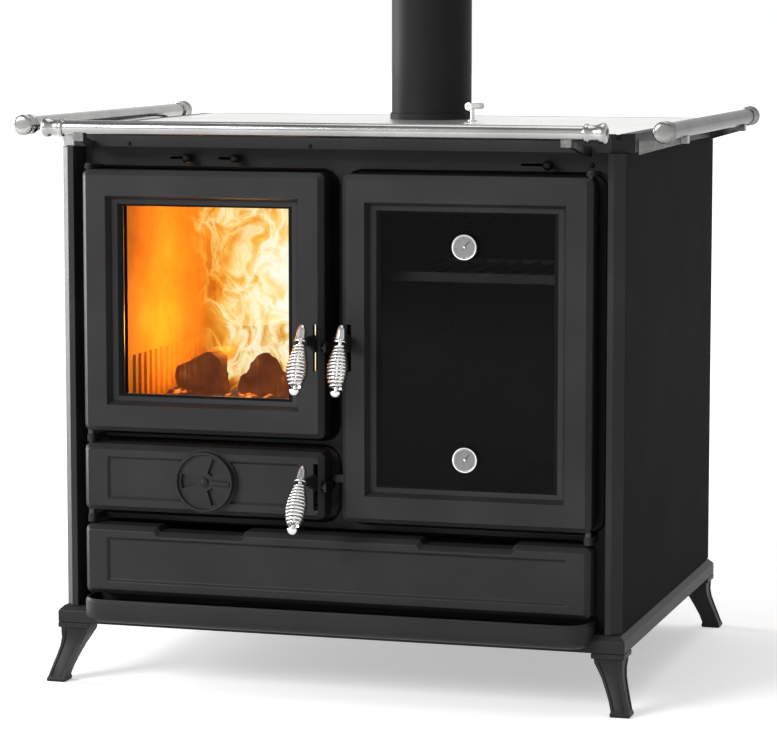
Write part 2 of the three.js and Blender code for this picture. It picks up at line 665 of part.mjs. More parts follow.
function fireboxGrate() {
  const z1 = FIRE_CAVITY.z0 - 2 + SEAT;
  const body = block(GRATE.x0 + SEAT, GRATE.x1 - SEAT, GRATE.y0 + SEAT, GRATE.y1 - SEAT,
    z1 - GRATE_THICK, z1);
  const slots = [];
  const step = GRATE_SLOT + GRATE_BAR;
  const count = Math.floor((GRATE.x1 - GRATE.x0 - 2 * GRATE_LEDGE - GRATE_BAR) / step);
  const first = (GRATE.x0 + GRATE.x1) / 2 - ((count - 1) * step) / 2;
  for (let i = 0; i < count; i += 1) {
    const x = first + i * step;
    slots.push(block(x - GRATE_SLOT / 2, x + GRATE_SLOT / 2, GRATE.y0 + 2 * GRATE_LEDGE,
      GRATE.y1 - 2 * GRATE_LEDGE, z1 - GRATE_THICK - 1, z1 + 1));
  }
  return cut(body, ...slots);
}
add('firebox_grate', fireboxGrate(), 'iron');

// ---- Ash box with a chute up to the liner, and the ash pan in it ----
function ashBox() {
  const c = ASH_CAVITY;
  const w = SHEET;
  const chuteTop = FIRE_CAVITY.z0 - LINER_FLOOR - SEAT;
  const neck = (out) => block(GRATE.x0 + GRATE_LEDGE - out, GRATE.x1 - GRATE_LEDGE + out,
    GRATE.y0 + GRATE_LEDGE - out, GRATE.y1 - GRATE_LEDGE + out, c.z1 - 2, chuteTop + (out > 0 ? 0 : 1));
  const body = join(
    block(c.x0 - w, c.x1 + w, PLATE_BACK + SEAT, c.back + w, c.z0 - w, c.z1 + w),
    block(-POCKET_OUT - 10, (WEB_LEFT + WEB_RIGHT) / 2 - SEAT, PLATE_BACK + SEAT,
      PLATE_BACK + SEAT + FLANGE, LOW_POCKET_BOTTOM - 7, (FIRE_POCKET_BOTTOM + ASH_POCKET_TOP) / 2 - SEAT),
    neck(w),
  );
  return cut(body, block(c.x0, c.x1, PLATE_BACK - 5, c.back, c.z0, c.z1), neck(0));
}
add('ash_box', ashBox(), 'iron');

function ashPan() {
  const c = ASH_CAVITY;
  const [x0, x1] = [c.x0 + PAN_SIDE, c.x1 - PAN_SIDE];
  const z0 = c.z0 + SEAT;
  const z1 = z0 + PAN_HEIGHT;
  const middle = (x0 + x1) / 2;
  const lip = block(middle - 60, middle + 60, PAN_FRONT - 12, PAN_FRONT + 1, z1 - 8, z1 - 5);
  const body = join(block(x0, x1, PAN_FRONT, PAN_BACK, z0, z1), lip);
  return cut(body, block(x0 + PAN_WALL, x1 - PAN_WALL, PAN_FRONT + PAN_WALL, PAN_BACK - PAN_WALL,
    z0 + PAN_WALL, z1 + 1));
}
add('ash_pan', ashPan(), 'sheet');

// ---- Oven box with two pairs of runners, and the rack on the upper pair ----
function ovenBox() {
  const c = OVEN_CAVITY;
  const w = OVEN_WALL;
  const body = join(
    block(c.x0 - w, c.x1 + w, PLATE_BACK + SEAT, c.back + w, c.z0 - w, c.z1 + w),
    block((WEB_LEFT + WEB_RIGHT) / 2 + SEAT, POCKET_OUT + 10, PLATE_BACK + SEAT,
      PLATE_BACK + SEAT + FLANGE, LOW_POCKET_BOTTOM - 7, POCKET_TOP + 5),
  );
  const open = cut(body, block(c.x0, c.x1, PLATE_BACK - 5, c.back, c.z0, c.z1));
  const runners = [];
  for (const z of RUNNER_Z) {
    for (const [x0, x1] of [[c.x0 - 1, c.x0 + RUNNER_OUT], [c.x1 - RUNNER_OUT, c.x1 + 1]]) {
      runners.push(block(x0, x1, PLATE_BACK + 8, c.back + 1, z - RUNNER_TALL, z));
    }
  }
  return join(open, ...runners);
}
add('oven_box', ovenBox(), 'iron');

function ovenRack() {
  const c = OVEN_CAVITY;
  const [x0, x1] = [c.x0 + RACK_SIDE, c.x1 - RACK_SIDE];
  const z0 = RUNNER_Z[0] + SEAT;
  const bars = [
    block(x0, x1, RACK_FRONT_Y, RACK_FRONT_Y + RACK_BAR, z0, z0 + RACK_FRONT_TALL),
    block(x0, x1, RACK_BACK_Y - RACK_BAR, RACK_BACK_Y, z0, z0 + RACK_BAR),
    block(x0, x0 + RACK_BAR, RACK_FRONT_Y, RACK_BACK_Y, z0, z0 + RACK_BAR),
    block(x1 - RACK_BAR, x1, RACK_FRONT_Y, RACK_BACK_Y, z0, z0 + RACK_BAR),
  ];
  for (let i = 1; i <= RACK_RODS; i += 1) {
    const x = x0 + ((x1 - x0) * i) / (RACK_RODS + 1);
    bars.push(block(x - 2, x + 2, RACK_FRONT_Y + 1, RACK_BACK_Y - 1, z0 + 1, z0 + 5));
  }
  return join(...bars);
}
add('oven_rack', ovenRack(), 'chrome');

// ---- Wood drawer: a bevelled front with two finger notches, and a sheet box behind it ----
function drawerOutline(inset) {
  const { x0, x1, z0, z1 } = DRAWER;
  const r = DOOR_RADIUS - Math.min(inset, 6);
  const top = z1 - inset;
  const low = top - PULL_DROP;
  const notch = PULLS.map(([a, b]) => [a - inset * 0.4, b + inset * 0.4]);
  const base = rounded(x0 + inset, x1 - inset, z0 + inset, top, r);
  const edge = [];
  for (const [a, b] of notch.reverse()) {
    edge.push([b + PULL_SLANT / 2, top], [b - PULL_SLANT / 2, low], [a + PULL_SLANT / 2, low],
      [a - PULL_SLANT / 2, top]);
  }
  return [...base.slice(0, 8), ...edge, ...base.slice(8)];
}

function sunkPanel({ x0, x1, z0, z1 }) {
  const d = PANEL_SUNK;
  const outer = rectangle(x0, x1, z0, z1);
  const inner = rectangle(x0 + d, x1 - d, z0 + d, z1 - d);
  return stack('y', [[DOOR_FACE - 1, outer], [DOOR_FACE, outer], [DOOR_FACE + d, inner]]);
}

const DRAWER_PLATE_BACK = DOOR_FACE + DOOR_PLATE + PANEL_SUNK;
function drawerFront() {
  const back = DRAWER_FRONT_BACK;
  const body = stack('y', [[DOOR_FACE, drawerOutline(DOOR_BEVEL)], [DOOR_EDGE, drawerOutline(0)],
    [back, drawerOutline(0)]]);
  const w = DOOR_WALL;
  const hollow = block(DRAWER.x0 + w, DRAWER.x1 - w, DRAWER_PLATE_BACK, back + 1,
    DRAWER.z0 + w, DRAWER.z1 - PULL_DROP - w);
  return cut(body, sunkPanel(DRAWER_PANEL), hollow);
}
add('drawer_front', drawerFront(), 'black');

// Runners under the box slide on the front plate's sill and glides at its rear on the base's deck.
function drawerBox() {
  const w = BOX_WALL;
  const y0 = DRAWER_PLATE_BACK + SEAT;
  const floor = BOX_BOTTOM + SEAT;
  const body = block(-BOX_HALF, BOX_HALF, y0, BOX_BACK, floor, DRAWER.z1 - PULL_DROP - 8);
  const inside = block(-BOX_HALF + w, BOX_HALF - w, y0 + w, BOX_BACK - w, floor + w, BOX_TOP + 20);
  const runners = [-RUNNER_X, RUNNER_X].flatMap((x) => {
    const [x0, x1] = [x - RUNNER_WIDTH / 2, x + RUNNER_WIDTH / 2];
    return [
      block(x0, x1, DRAWER_FRONT_BACK + 4, BOX_BACK, DRAWER_GAP_BOTTOM + SEAT, floor + w / 2),
      block(x0, x1, BOX_BACK - GLIDE_LENGTH, BOX_BACK, BASE_TOP + SEAT, floor + w / 2),
    ];
  });
  return join(cut(body, inside), ...runners);
}
add('drawer_box', drawerBox(), 'sheet');

// ---- Doors ----
const HALF_TURN = { fire: -1, ash: -1, oven: 1 };

function latchCuts(kind, door) {
  const { slot, pivot } = LATCHES[kind];
  const side = HALF_TURN[kind];
  const edge = side < 0 ? door.x1 : door.x0;
  const inward = (distance) => edge + side * distance;
  const bore = (radius, from, to) => disc('x', PIVOT_Y, pivot, radius, Math.min(from, to),
    Math.max(from, to));
  return [
    block(slot - SLOT_WIDTH / 2, slot + SLOT_WIDTH / 2, DOOR_FACE - 1, DOOR_FACE + 40,
      pivot - SLOT_TALL / 2, pivot + SLOT_TALL / 2),
    bore(PIVOT_RADIUS + BORE_PLAY, inward(-1), slot),
    bore(COUNTERBORE, inward(-1), inward(3.4)),
  ];
}

function doorShell(kind, door, collar) {
  const side = HALF_TURN[kind];
  const { x0, x1, z0, z1 } = door;
  const b = DOOR_BEVEL;
  const r = DOOR_RADIUS;
  const body = stack('y', [
    [DOOR_FACE, rounded(x0 + b, x1 - b, z0 + b, z1 - b, r - 5)],
    [DOOR_EDGE, rounded(x0, x1, z0, z1, r)],
    [DOOR_BACK, rounded(x0, x1, z0, z1, r)],
  ]);
  const left = side < 0 ? DOOR_HINGE_WALL : DOOR_WALL;
  const right = side < 0 ? DOOR_WALL : DOOR_HINGE_WALL;
  const w = DOOR_WALL;
  let hollow = block(x0 + left, x1 - right, DOOR_FACE + DOOR_PLATE, DOOR_BACK + 1, z0 + w, z1 - w);
  if (collar) hollow = cut(hollow, collar);
  const pinHole = disc('z', side * HINGE_X, HINGE_Y, PIN_RADIUS + BORE_PLAY, z0 - 1, z1 + 1, 12);
  return cut(body, hollow, pinHole);
}

const GLASS_Y = DOOR_FACE + MOULDING[3][2];
function windowCollar({ x0, x1, z0, z1 }) {
  const a = COLLAR_AROUND;
  return block(x0 - a, x1 + a, DOOR_FACE, GLASS_Y, z0 - a, z1 + a);
}

function windowHole({ x0, x1, z0, z1 }) {
  const at = ([side, up]) => rectangle(x0 + side, x1 - side, z0 + up, z1 - up);
  const levels = MOULDING.map((step) => [DOOR_FACE + step[2], at(step)]);
  return stack('y', [[DOOR_FACE - 1, at(MOULDING[0])], ...levels, [GLASS_Y + 1, at(MOULDING[3])]]);
}

function windowDoor(kind, door, opening) {
  return cut(doorShell(kind, door, windowCollar(opening)), windowHole(opening), ...latchCuts(kind, door));
}

function glassPane({ x0, x1, z0, z1 }, dials) {
  const [, , , [side, up]] = MOULDING;
  const lap = GLASS_LAP;
  const y0 = GLASS_Y + SEAT;
  const pane = block(x0 + side - lap, x1 - side + lap, y0, y0 + GLASS_THICK, z0 + up - lap, z1 - up + lap);
  const play = DIAL_STEM + BORE_PLAY;
  const holes = dials.map(([x, z]) => disc('y', x, z, play, y0 - 1, y0 + GLASS_THICK + 1, 12));
  return cut(pane, ...holes);
}

function retainer({ x0, x1, z0, z1 }) {
  const [, , , [side, up]] = MOULDING;
  const a = COLLAR_AROUND;
  const y0 = GLASS_Y + GLASS_THICK + 2 * SEAT;
  const y1 = y0 + RETAINER_THICK;
  const lip = block(x0 - a, x1 + a, y0, y1, z0 - a, z1 + a);
  return cut(lip, block(x0 + side, x1 - side, y0 - 1, y1 + 1, z0 + up, z1 - up));
}

const fireDoor = new THREE.Group();
const ovenDoor = new THREE.Group();
const ashDoor = new THREE.Group();
stove.add(fireDoor, ovenDoor, ashDoor);

add('fire_door_frame', windowDoor('fire', FIRE_DOOR, FIRE_WINDOW), 'black', fireDoor);
add('fire_door_glass', glassPane(FIRE_WINDOW, []), 'glass', fireDoor);
add('fire_door_retainer', retainer(FIRE_WINDOW), 'iron', fireDoor);
add('oven_door_frame', windowDoor('oven', OVEN_DOOR, OVEN_WINDOW), 'black', ovenDoor);
add('oven_door_glass', glassPane(OVEN_WINDOW, Object.values(DIALS)), 'glass', ovenDoor);
add('oven_door_retainer', retainer(OVEN_WINDOW), 'iron', ovenDoor);

// ---- Thermometers: a bezel on the glass with a stem through it ----
function thermometer() {
  const r = DIAL_RADIUS;
  const y0 = -DIAL_DEPTH;
  return turned('y', [[0, y0 + 2.2], [r - 3.4, y0 + 2.2], [r - 2.6, y0], [r - 0.8, y0 + 0.6],
    [r, y0 + 2.6], [r, -1.5], [r - 2, -SEAT], [DIAL_STEM, -SEAT], [DIAL_STEM, GLASS_THICK + 22],
    [0, GLASS_THICK + 22]], 20);
}
for (const [place, [x, z]] of Object.entries(DIALS)) {
  add(`oven_thermometer_${place}`, thermometer(), 'dial', ovenDoor, [x, GLASS_Y + SEAT, z]);
}

// ---- Ash door: sunk panel, a round boss for the air wheel and three air openings ----
function wedge(centre, y0, y1) {
  const points = [];
  for (const [radius, from, to] of [[WEDGE_OUT, -1, 1], [WEDGE_IN, 1, -1]]) {
    for (let i = 0; i <= 4; i += 1) {
      const share = from + ((to - from) * i) / 4;
      const angle = THREE.MathUtils.degToRad(centre + share * WEDGE_HALF);
      points.push([radius * Math.cos(angle), radius * Math.sin(angle)]);
    }
  }
  return stack('y', [[y0, points], [y1, points]]);
}

function ashDoorFrame() {
  const shell = cut(doorShell('ash', ASH_DOOR, null), sunkPanel(ASH_PANEL));
  const boss = disc('y', WHEEL_X, WHEEL_Z, WHEEL_BOSS, DOOR_FACE, DOOR_FACE + PANEL_SUNK + 1, 32);
  const air = WEDGES.map((angle) => wedge(angle + WHEEL_SHIFT, DOOR_FACE - 1, DOOR_FACE + DOOR_PLATE + 1)
    .translate(WHEEL_X, 0, WHEEL_Z));
  const shaft = disc('y', WHEEL_X, WHEEL_Z, WHEEL_SHAFT + BORE_PLAY, DOOR_FACE - 1,
    DOOR_FACE + DOOR_PLATE + 1, 12);
  return cut(join(shell, boss), ...air, shaft, ...latchCuts('ash', ASH_DOOR));
}
add('ash_door_frame', ashDoorFrame(), 'black', ashDoor);

// ---- Air wheel: rimmed disc with three openings, a hub, a rib to turn it by and a shaft ----
function airWheel() {
  const r = WHEEL_RADIUS;
  const inner = r - WHEEL_RIM_WIDTH;
  const plate = turned('y', [[0, -WHEEL_DISC], [inner, -WHEEL_DISC], [inner + 0.6, -WHEEL_RIM],
    [r - 1, -WHEEL_RIM], [r, -WHEEL_RIM + 1.5], [r, 0], [WHEEL_SHAFT, 0], [WHEEL_SHAFT, DOOR_PLATE],
    [0, DOOR_PLATE]], 32);
  const openings = WEDGES.map((angle) => wedge(angle, -WHEEL_DISC - 1, 1));
  const hub = turned('y', [[0, -WHEEL_RIM - 2], [WHEEL_HUB * 0.6, -WHEEL_RIM - 1],
    [WHEEL_HUB, -WHEEL_RIM + 2], [WHEEL_HUB, -WHEEL_DISC + 1], [0, -WHEEL_DISC + 1]], 12);
  const rib = block(WHEEL_HUB + 2, inner - 1, -WHEEL_RIM, -WHEEL_DISC + 1, -2.5, 2.5)
    .rotateY(THREE.MathUtils.degToRad(3));
  return join(cut(plate, ...openings), hub, rib);
}
add('air_wheel', airWheel(), 'black', ashDoor, [WHEEL_X, DOOR_FACE - SEAT, WHEEL_Z]);

// ---- Hinge pins: one rod for each door, with a shoulder that carries it ----
function hingePin(side, low, high, door, head) {
  const z0 = low.z0 + (side < 0 && low === LUG_MIDDLE ? (low.z1 - low.z0) / 2 + SEAT : 0);
  const z1 = head ? high.z1 + SEAT : (high.z0 + high.z1) / 2 - SEAT;
  const profile = [[0, z0], [PIN_RADIUS, z0], [PIN_RADIUS, low.z1 + SEAT], [PIN_SHOULDER, low.z1 + SEAT],
    [PIN_SHOULDER, door.z0 - SEAT], [PIN_RADIUS, door.z0 - SEAT], [PIN_RADIUS, z1]];
  if (head) profile.push([PIN_HEAD, z1], [PIN_HEAD, z1 + 2], [PIN_HEAD - 2, z1 + 3.2], [0, z1 + 3.2]);
  else profile.push([0, z1]);
  return turned('z', profile, 12);
}
add('fire_hinge_pin', hingePin(-1, LUG_MIDDLE, LUG_TOP, FIRE_DOOR, true), 'iron', stove,
  [-HINGE_X, HINGE_Y, 0]);
add('ash_hinge_pin', hingePin(-1, LUG_LOW, LUG_MIDDLE, ASH_DOOR, false), 'iron', stove,
  [-HINGE_X, HINGE_Y, 0]);
add('oven_hinge_pin', hingePin(1, LUG_LOW, LUG_TOP, OVEN_DOOR, true), 'iron', stove,
  [HINGE_X, HINGE_Y, 0]);

// ---- Spring grips: ferrule, rod and tip with a barrel coil wound round the rod ----
// The coil is one tube along a helix: radius from COIL_END to COIL_BELLY and back, steady pitch.
const FERRULE_END = FERRULE_LENGTH + GRIP_COLLAR_TALL;
const TIP_START = GRIP_LENGTH - GRIP_TIP_TALL;
function coilPath() {
  const steps = 8;
  const lead = 2 * WIRE;
  const start = FERRULE_END + lead + 1.2;
  const end = TIP_START - lead - 1.2;
  const points = [[COIL_END, 0, FERRULE_END - 0.5], [COIL_END, 0, FERRULE_END + lead]];
  for (let i = 1; i < COILS * steps; i += 1) {
    const share = i / (COILS * steps);
    const angle = (2 * Math.PI * i) / steps;
    const swell = Math.sin(Math.PI * share ** 1.3);
    const radius = COIL_END + (COIL_BELLY - COIL_END) * swell ** 0.8;
    points.push([radius * Math.cos(angle), radius * Math.sin(angle), start + (end - start) * share]);
  }
  points.push([COIL_END, 0, TIP_START - lead], [COIL_END, 0, TIP_START + 0.5]);
  return points.map((point) => new THREE.Vector3(...point));
}

// Least gap between windings: from each point to each segment at least half a turn away.
function leastGap(points) {
  let least = Infinity;
  const line = new THREE.Line3();
  const nearest = new THREE.Vector3();
  points.forEach((point, i) => {
    for (let j = i + 4; j + 1 < points.length; j += 1) {
      line.set(points[j], points[j + 1]).closestPointToPoint(point, true, nearest);
      least = Math.min(least, nearest.distanceTo(point));
    }
  });
  return least - 2 * WIRE;
}

function tube(points, radius, sides) {
  const positions = [];
  const index = [];
  const normal = new THREE.Vector3(0, 1, 0);
  const last = points.length - 1;
  points.forEach((point, i) => {
    const before = point.clone().sub(points[Math.max(i - 1, 0)]);
    const after = points[Math.min(i + 1, last)].clone().sub(point);
    if (i === 0) before.copy(after);
    if (i === last) after.copy(before);
    const along = before.normalize().add(after.normalize()).normalize();
    normal.sub(along.clone().multiplyScalar(normal.dot(along))).normalize();
    const across = along.clone().cross(normal);
    for (let k = 0; k < sides; k += 1) {
      const angle = (2 * Math.PI * k) / sides;
      const offset = normal.clone().multiplyScalar(Math.cos(angle)).addScaledVector(across, Math.sin(angle));
      const corner = point.clone().addScaledVector(offset, radius);
      positions.push(corner.x, corner.y, corner.z);
    }
  });
  for (let i = 0; i < last; i += 1) {
    for (let k = 0; k < sides; k += 1) {
      const a = i * sides + k;
      const b = i * sides + ((k + 1) % sides);
      index.push(a, b, b + sides, a, b + sides, a + sides);
    }
  }
  for (let k = 1; k + 1 < sides; k += 1) {
    index.push(0, k + 1, k);
    index.push(last * sides, last * sides + k, last * sides + k + 1);
  }
  const geometry = new THREE.BufferGeometry();
  geometry.setAttribute('position', new THREE.Float32BufferAttribute(positions, 3));
  geometry.setIndex(index);
  return outward(geometry);
}

function ferrule(play) {
  return turned('z', [[0, -play], [FERRULE_TOP - 1.5 + play, -play], [FERRULE_TOP + play, 1.5],
    [6.4 + play, 5], [FERRULE_FOOT + play, FERRULE_LENGTH], [GRIP_COLLAR + play, FERRULE_LENGTH - play],
    [GRIP_COLLAR + play, FERRULE_END + play], [0, FERRULE_END + play]], 16);
}

function grip() {
  const rod = turned('z', [[0, FERRULE_END - 1], [GRIP_ROD, FERRULE_END - 1], [GRIP_ROD, TIP_START + 1],
    [0, TIP_START + 1]], 10);
  const tip = turned('z', [[0, TIP_START], [GRIP_TIP, TIP_START], [GRIP_TIP, TIP_START + 2],
    [GRIP_TIP - 2, GRIP_LENGTH - 3], [GRIP_TIP - 5, GRIP_LENGTH - 0.6], [0, GRIP_LENGTH]], 14);
  return join(ferrule(0), rod, tip, tube(coilPath(), WIRE, 5));
}
console.log(`spring grip, least gap between windings: ${leastGap(coilPath()).toFixed(2)} mm`);

// The grip points down and leans forward: its own +Z runs from the ferrule to the tip.
function placeGrip(geometry, tilt) {
  return geometry.clone().rotateX(Math.PI - THREE.MathUtils.degToRad(tilt))
    .translate(0, -GRIP_OUT, GRIP_UP);
}

// ---- Latches: lever through the slot, pivot pin, and a tongue beside the door's edge ----
function latch(kind, door) {
  const { slot, tilt } = LATCHES[kind];
  const side = HALF_TURN[kind];
  const edge = side < 0 ? door.x1 : door.x0;
  const half = LEVER_THICK / 2;
  const arm = [[-GRIP_OUT - 3, 21], [-GRIP_OUT - 3, 9], [-GRIP_OUT + 10, 8], [-8, -7], [0, -8], [6, -6],
    [7, 2], [2, 8], [-6, 12], [-16, 20.5]];
  const lever = stack('x', [[-half, arm], [half, arm]]);
  const reach = edge - slot;
  const inside = reach - side * TONGUE_OFF;
  const outside = inside - side * TONGUE_THICK;
  const pin = disc('x', 0, 0, PIVOT_RADIUS, Math.min(0, outside), Math.max(0, outside));
  const shape = [[-8, -6], [-4, -8.5], [4, -8.5], [38, -6], [42, -3], [42, 1], [36, 4], [10, 6],
    [4, 8.5], [-4, 8.5], [-8, 6]];
  const tongue = stack('x', [[Math.min(inside, outside), shape], [Math.max(inside, outside), shape]]);
  const room = placeGrip(ferrule(SEAT), tilt).translate(side * GRIP_ASIDE, 0, 0);
  return cut(join(lever, pin, tongue), room);
}

for (const [kind, door, parent] of [['fire', FIRE_DOOR, fireDoor], ['oven', OVEN_DOOR, ovenDoor],
  ['ash', ASH_DOOR, ashDoor]]) {
  const { slot, pivot, tilt } = LATCHES[kind];
  const pivotGroup = new THREE.Group();
  pivotGroup.position.set(slot, PIVOT_Y, pivot);
  parent.add(pivotGroup);
  add(`${kind}_latch`, latch(kind, door), 'iron', pivotGroup);
  add(`${kind}_grip`, placeGrip(grip(), tilt), 'chrome', pivotGroup, [HALF_TURN[kind] * GRIP_ASIDE, 0, 0]);
}

// ---- Catches on the webs of the front plate: a block and a pin above each tongue ----
function doorCatch(pivot, leftDoor, rightDoor) {
  const x0 = WEB_LEFT + 0.5;
  const x1 = WEB_RIGHT - 0.5;
  const z = pivot + CATCH_PIN_RADIUS + 6.4;
  const pinFrom = leftDoor ? x0 - CATCH_PIN_OUT : x0 + 1;
  const pinTo = rightDoor ? x1 + CATCH_PIN_OUT : x1 - 1;
  return join(block(x0, x1, CATCH_Y0, PLATE_Y - SEAT, z - CATCH_HALF, z + CATCH_HALF),
    disc('x', CATCH_PIN_Y, z, CATCH_PIN_RADIUS, pinFrom, pinTo, 12));
}
add('catch_middle', doorCatch(Math.max(LATCHES.fire.pivot, LATCHES.oven.pivot), true, true), 'iron');
add('catch_ash', doorCatch(LATCHES.ash.pivot, true, false), 'iron');

// ---- Slide knobs in the header: knob, stem through the slot and a keeper behind the plate ----
function slideKnob() {
  const r = KNOB_RADIUS;
  const front = -KNOB_OUT;
  const knob = turned('y', [[0, front], [r * 0.5, front + 0.9], [r * 0.86, front + 4], [r, front + 8],
    [r * 0.86, front + 12], [r * 0.5, front + 15], [KNOB_NECK, front + 16.5], [KNOB_NECK, -3],
    [KNOB_FLANGE, -2], [KNOB_FLANGE, -SEAT], [0, -SEAT]], 12);
  const s = KNOB_STEM / 2;
  const stem = block(-s, s, -1, PLATE_THICK + SEAT + 2.5, -s, s);
  const keeper = block(-9, 9, PLATE_THICK + SEAT, PLATE_THICK + SEAT + 2.5, -6.5, 6.5);
  return join(knob, stem, keeper);
}
add('knob_air_left', slideKnob(), 'black', stove, [SLIDES.air_left.x, PLATE_Y, SLIDES.air_left.z]);
add('knob_air_middle', slideKnob(), 'black', stove, [SLIDES.air_middle.x, PLATE_Y, SLIDES.air_middle.z]);
add('knob_damper', slideKnob(), 'black', stove, [SLIDES.damper.x, PLATE_Y, SLIDES.damper.z]);

// ---- Rails: a tube with a turned cap at each end ----
function rail(axis, from, to, radius, cap) {
  const end = [[0, 0], [cap - 5, 0.8], [cap - 1.4, 3], [cap, 7], [cap - 0.8, 11], [radius + 1.8, 16],
    [radius + 1, 22], [radius + 1.8, 28], [radius + 3, 30], [radius + 3, 33.5], [radius, 35.5]];
  const near = end.map(([r, w]) => [r, from + w]);
  const far = end.slice().reverse().map(([r, w]) => [r, to - w]);
  const profile = [...near, ...far];
  return turned(axis, profile, 14);
}
add('front_rail', rail('x', -FRONT_RAIL.half, FRONT_RAIL.half, FRONT_RAIL.radius, FRONT_RAIL.cap),
  'steel', stove, [0, FRONT_RAIL.y, FRONT_RAIL.z]);
for (const [name, side] of [['left', -1], ['right', 1]]) {
  add(`side_rail_${name}`, rail('y', SIDE_RAIL.y0, SIDE_RAIL.y1, SIDE_RAIL.radius, SIDE_RAIL.cap),
    'steel', stove, [side * SIDE_RAIL.x, 0, SIDE_RAIL.z]);
}

// ---- Rail brackets: a bent upright arm, taller at the top frame than at the foot under the rail ----
// Each arm is given as [share of the way from foot to root, top, bottom], measured below the rail.
const FRONT_ARM = [[0, 1, 8], [0.25, 4, 12], [0.65, 9, 22], [1, 13, 27]];
const SIDE_ARM = [[0, 1, 9], [0.28, 3, 13], [0.68, 4, 19], [1, 2, 24]];

function frontBracket(side) {
  const { y, z, radius } = FRONT_RAIL;
  const x = side * FRONT_BRACKET_X;
  const under = z - radius - SEAT;
  const root = x + side * 14;
  const rootY = FRAME_FRONT + 2;
  const foot = block(x - FOOT_HALF, x + FOOT_HALF, y - FOOT_HALF, y + FOOT_HALF,
    under - FOOT_TALL, under + 3);
  const half = BRACKET_THICK / 2;
  const arm = stack('y', FRONT_ARM.map(([share, top, bottom]) => {
    const middle = x + (root - x) * share;
    return [y + (rootY - y) * share, rectangle(middle - half, middle + half, under - bottom, under - top)];
  }));
  const room = disc('x', y, z, radius + SEAT, x - 20, x + 20, 16);
  const wall = block(root - 30, root + 30, FRAME_FRONT - SEAT, FRAME_FRONT + 40, FRAME_BOTTOM - 40, TOP + 9);
  return cut(join(foot, arm), room, wall);
}

function sideBracket(side, { foot, root }) {
  const { x, z, radius } = SIDE_RAIL;
  const under = z - radius - SEAT;
  const at = side * x;
  const rootX = side * (BASE_HALF - 2);
  const pad = block(at - FOOT_HALF, at + FOOT_HALF, foot - FOOT_HALF, foot + FOOT_HALF,
    under - FOOT_TALL, under + 4);
  const half = (BRACKET_THICK / 2) * Math.hypot(1, (root - foot) / (at - rootX));
  const arm = stack('x', SIDE_ARM.map(([share, top, bottom]) => {
    const middle = foot + (root - foot) * share;
    return [at + (rootX - at) * share, rectangle(middle - half, middle + half, under - bottom, under - top)];
  }));
  const room = disc('y', at, z, radius + SEAT, foot - 20, foot + 20, 16);
  const edge = side * (BASE_HALF + SEAT);
  const wall = block(Math.min(edge, edge - side * 40), Math.max(edge, edge - side * 40), root - 60, root + 60,
    FRAME_BOTTOM - 40, TOP + 9);
  return cut(join(pad, arm), room, wall);
}
for (const [name, side] of [['left', -1], ['right', 1]]) {
  add(`front_bracket_${name}`, frontBracket(side), 'iron');
  add(`side_bracket_front_${name}`, sideBracket(side, SIDE_BRACKET_FRONT), 'iron');
  add(`side_bracket_rear_${name}`, sideBracket(side, SIDE_BRACKET_REAR), 'iron');
}

// ---- Origin: the middle of the bounding box, on the floor ----
const bounds = new THREE.Box3().setFromObject(group);
stove.position.set(-(bounds.min.x + bounds.max.x) / 2, -(bounds.min.y + bounds.max.y) / 2, -bounds.min.z);
group.updateMatrixWorld(true);

export default group;
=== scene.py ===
import json

import bmesh
import bpy
import numpy as np
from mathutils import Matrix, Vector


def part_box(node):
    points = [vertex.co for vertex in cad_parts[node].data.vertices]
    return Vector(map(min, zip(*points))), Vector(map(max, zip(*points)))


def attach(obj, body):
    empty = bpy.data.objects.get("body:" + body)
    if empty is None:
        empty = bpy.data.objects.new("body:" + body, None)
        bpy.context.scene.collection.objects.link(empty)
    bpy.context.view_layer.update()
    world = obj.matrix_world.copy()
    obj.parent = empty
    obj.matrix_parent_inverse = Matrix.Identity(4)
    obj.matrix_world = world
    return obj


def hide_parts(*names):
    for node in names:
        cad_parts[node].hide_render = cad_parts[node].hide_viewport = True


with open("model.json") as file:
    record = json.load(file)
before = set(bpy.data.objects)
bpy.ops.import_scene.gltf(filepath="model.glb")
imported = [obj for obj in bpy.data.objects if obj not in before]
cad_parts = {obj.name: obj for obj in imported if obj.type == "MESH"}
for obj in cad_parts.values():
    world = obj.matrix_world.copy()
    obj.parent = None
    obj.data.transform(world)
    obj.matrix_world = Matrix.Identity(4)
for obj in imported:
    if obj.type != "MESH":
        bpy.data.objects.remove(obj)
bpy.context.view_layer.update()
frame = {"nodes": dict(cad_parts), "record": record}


# ---- Camera ----
# The stove is seen from its front right, from a little above the cooking plate, with a long lens.
# Its place and turn come from the stove's straight edges. Depths are given from FRONT, the front
# face of the base.
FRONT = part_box("base_plate")[0][1]
CAMERA_PLACE = (1.4308, FRONT - 4.5375, 1.0524)
CAMERA_DIP = 6.58
CAMERA_TURN = 16.50
CAMERA_LENS = 147.4

camera = bpy.data.objects.new("camera", bpy.data.cameras.new("camera"))
camera.location = CAMERA_PLACE
camera.rotation_euler = np.radians((90 - CAMERA_DIP, 0, CAMERA_TURN))
camera.data.lens = CAMERA_LENS
bpy.context.collection.objects.link(camera)
bpy.context.scene.camera = camera
bpy.context.scene.view_settings.view_transform = "Standard"


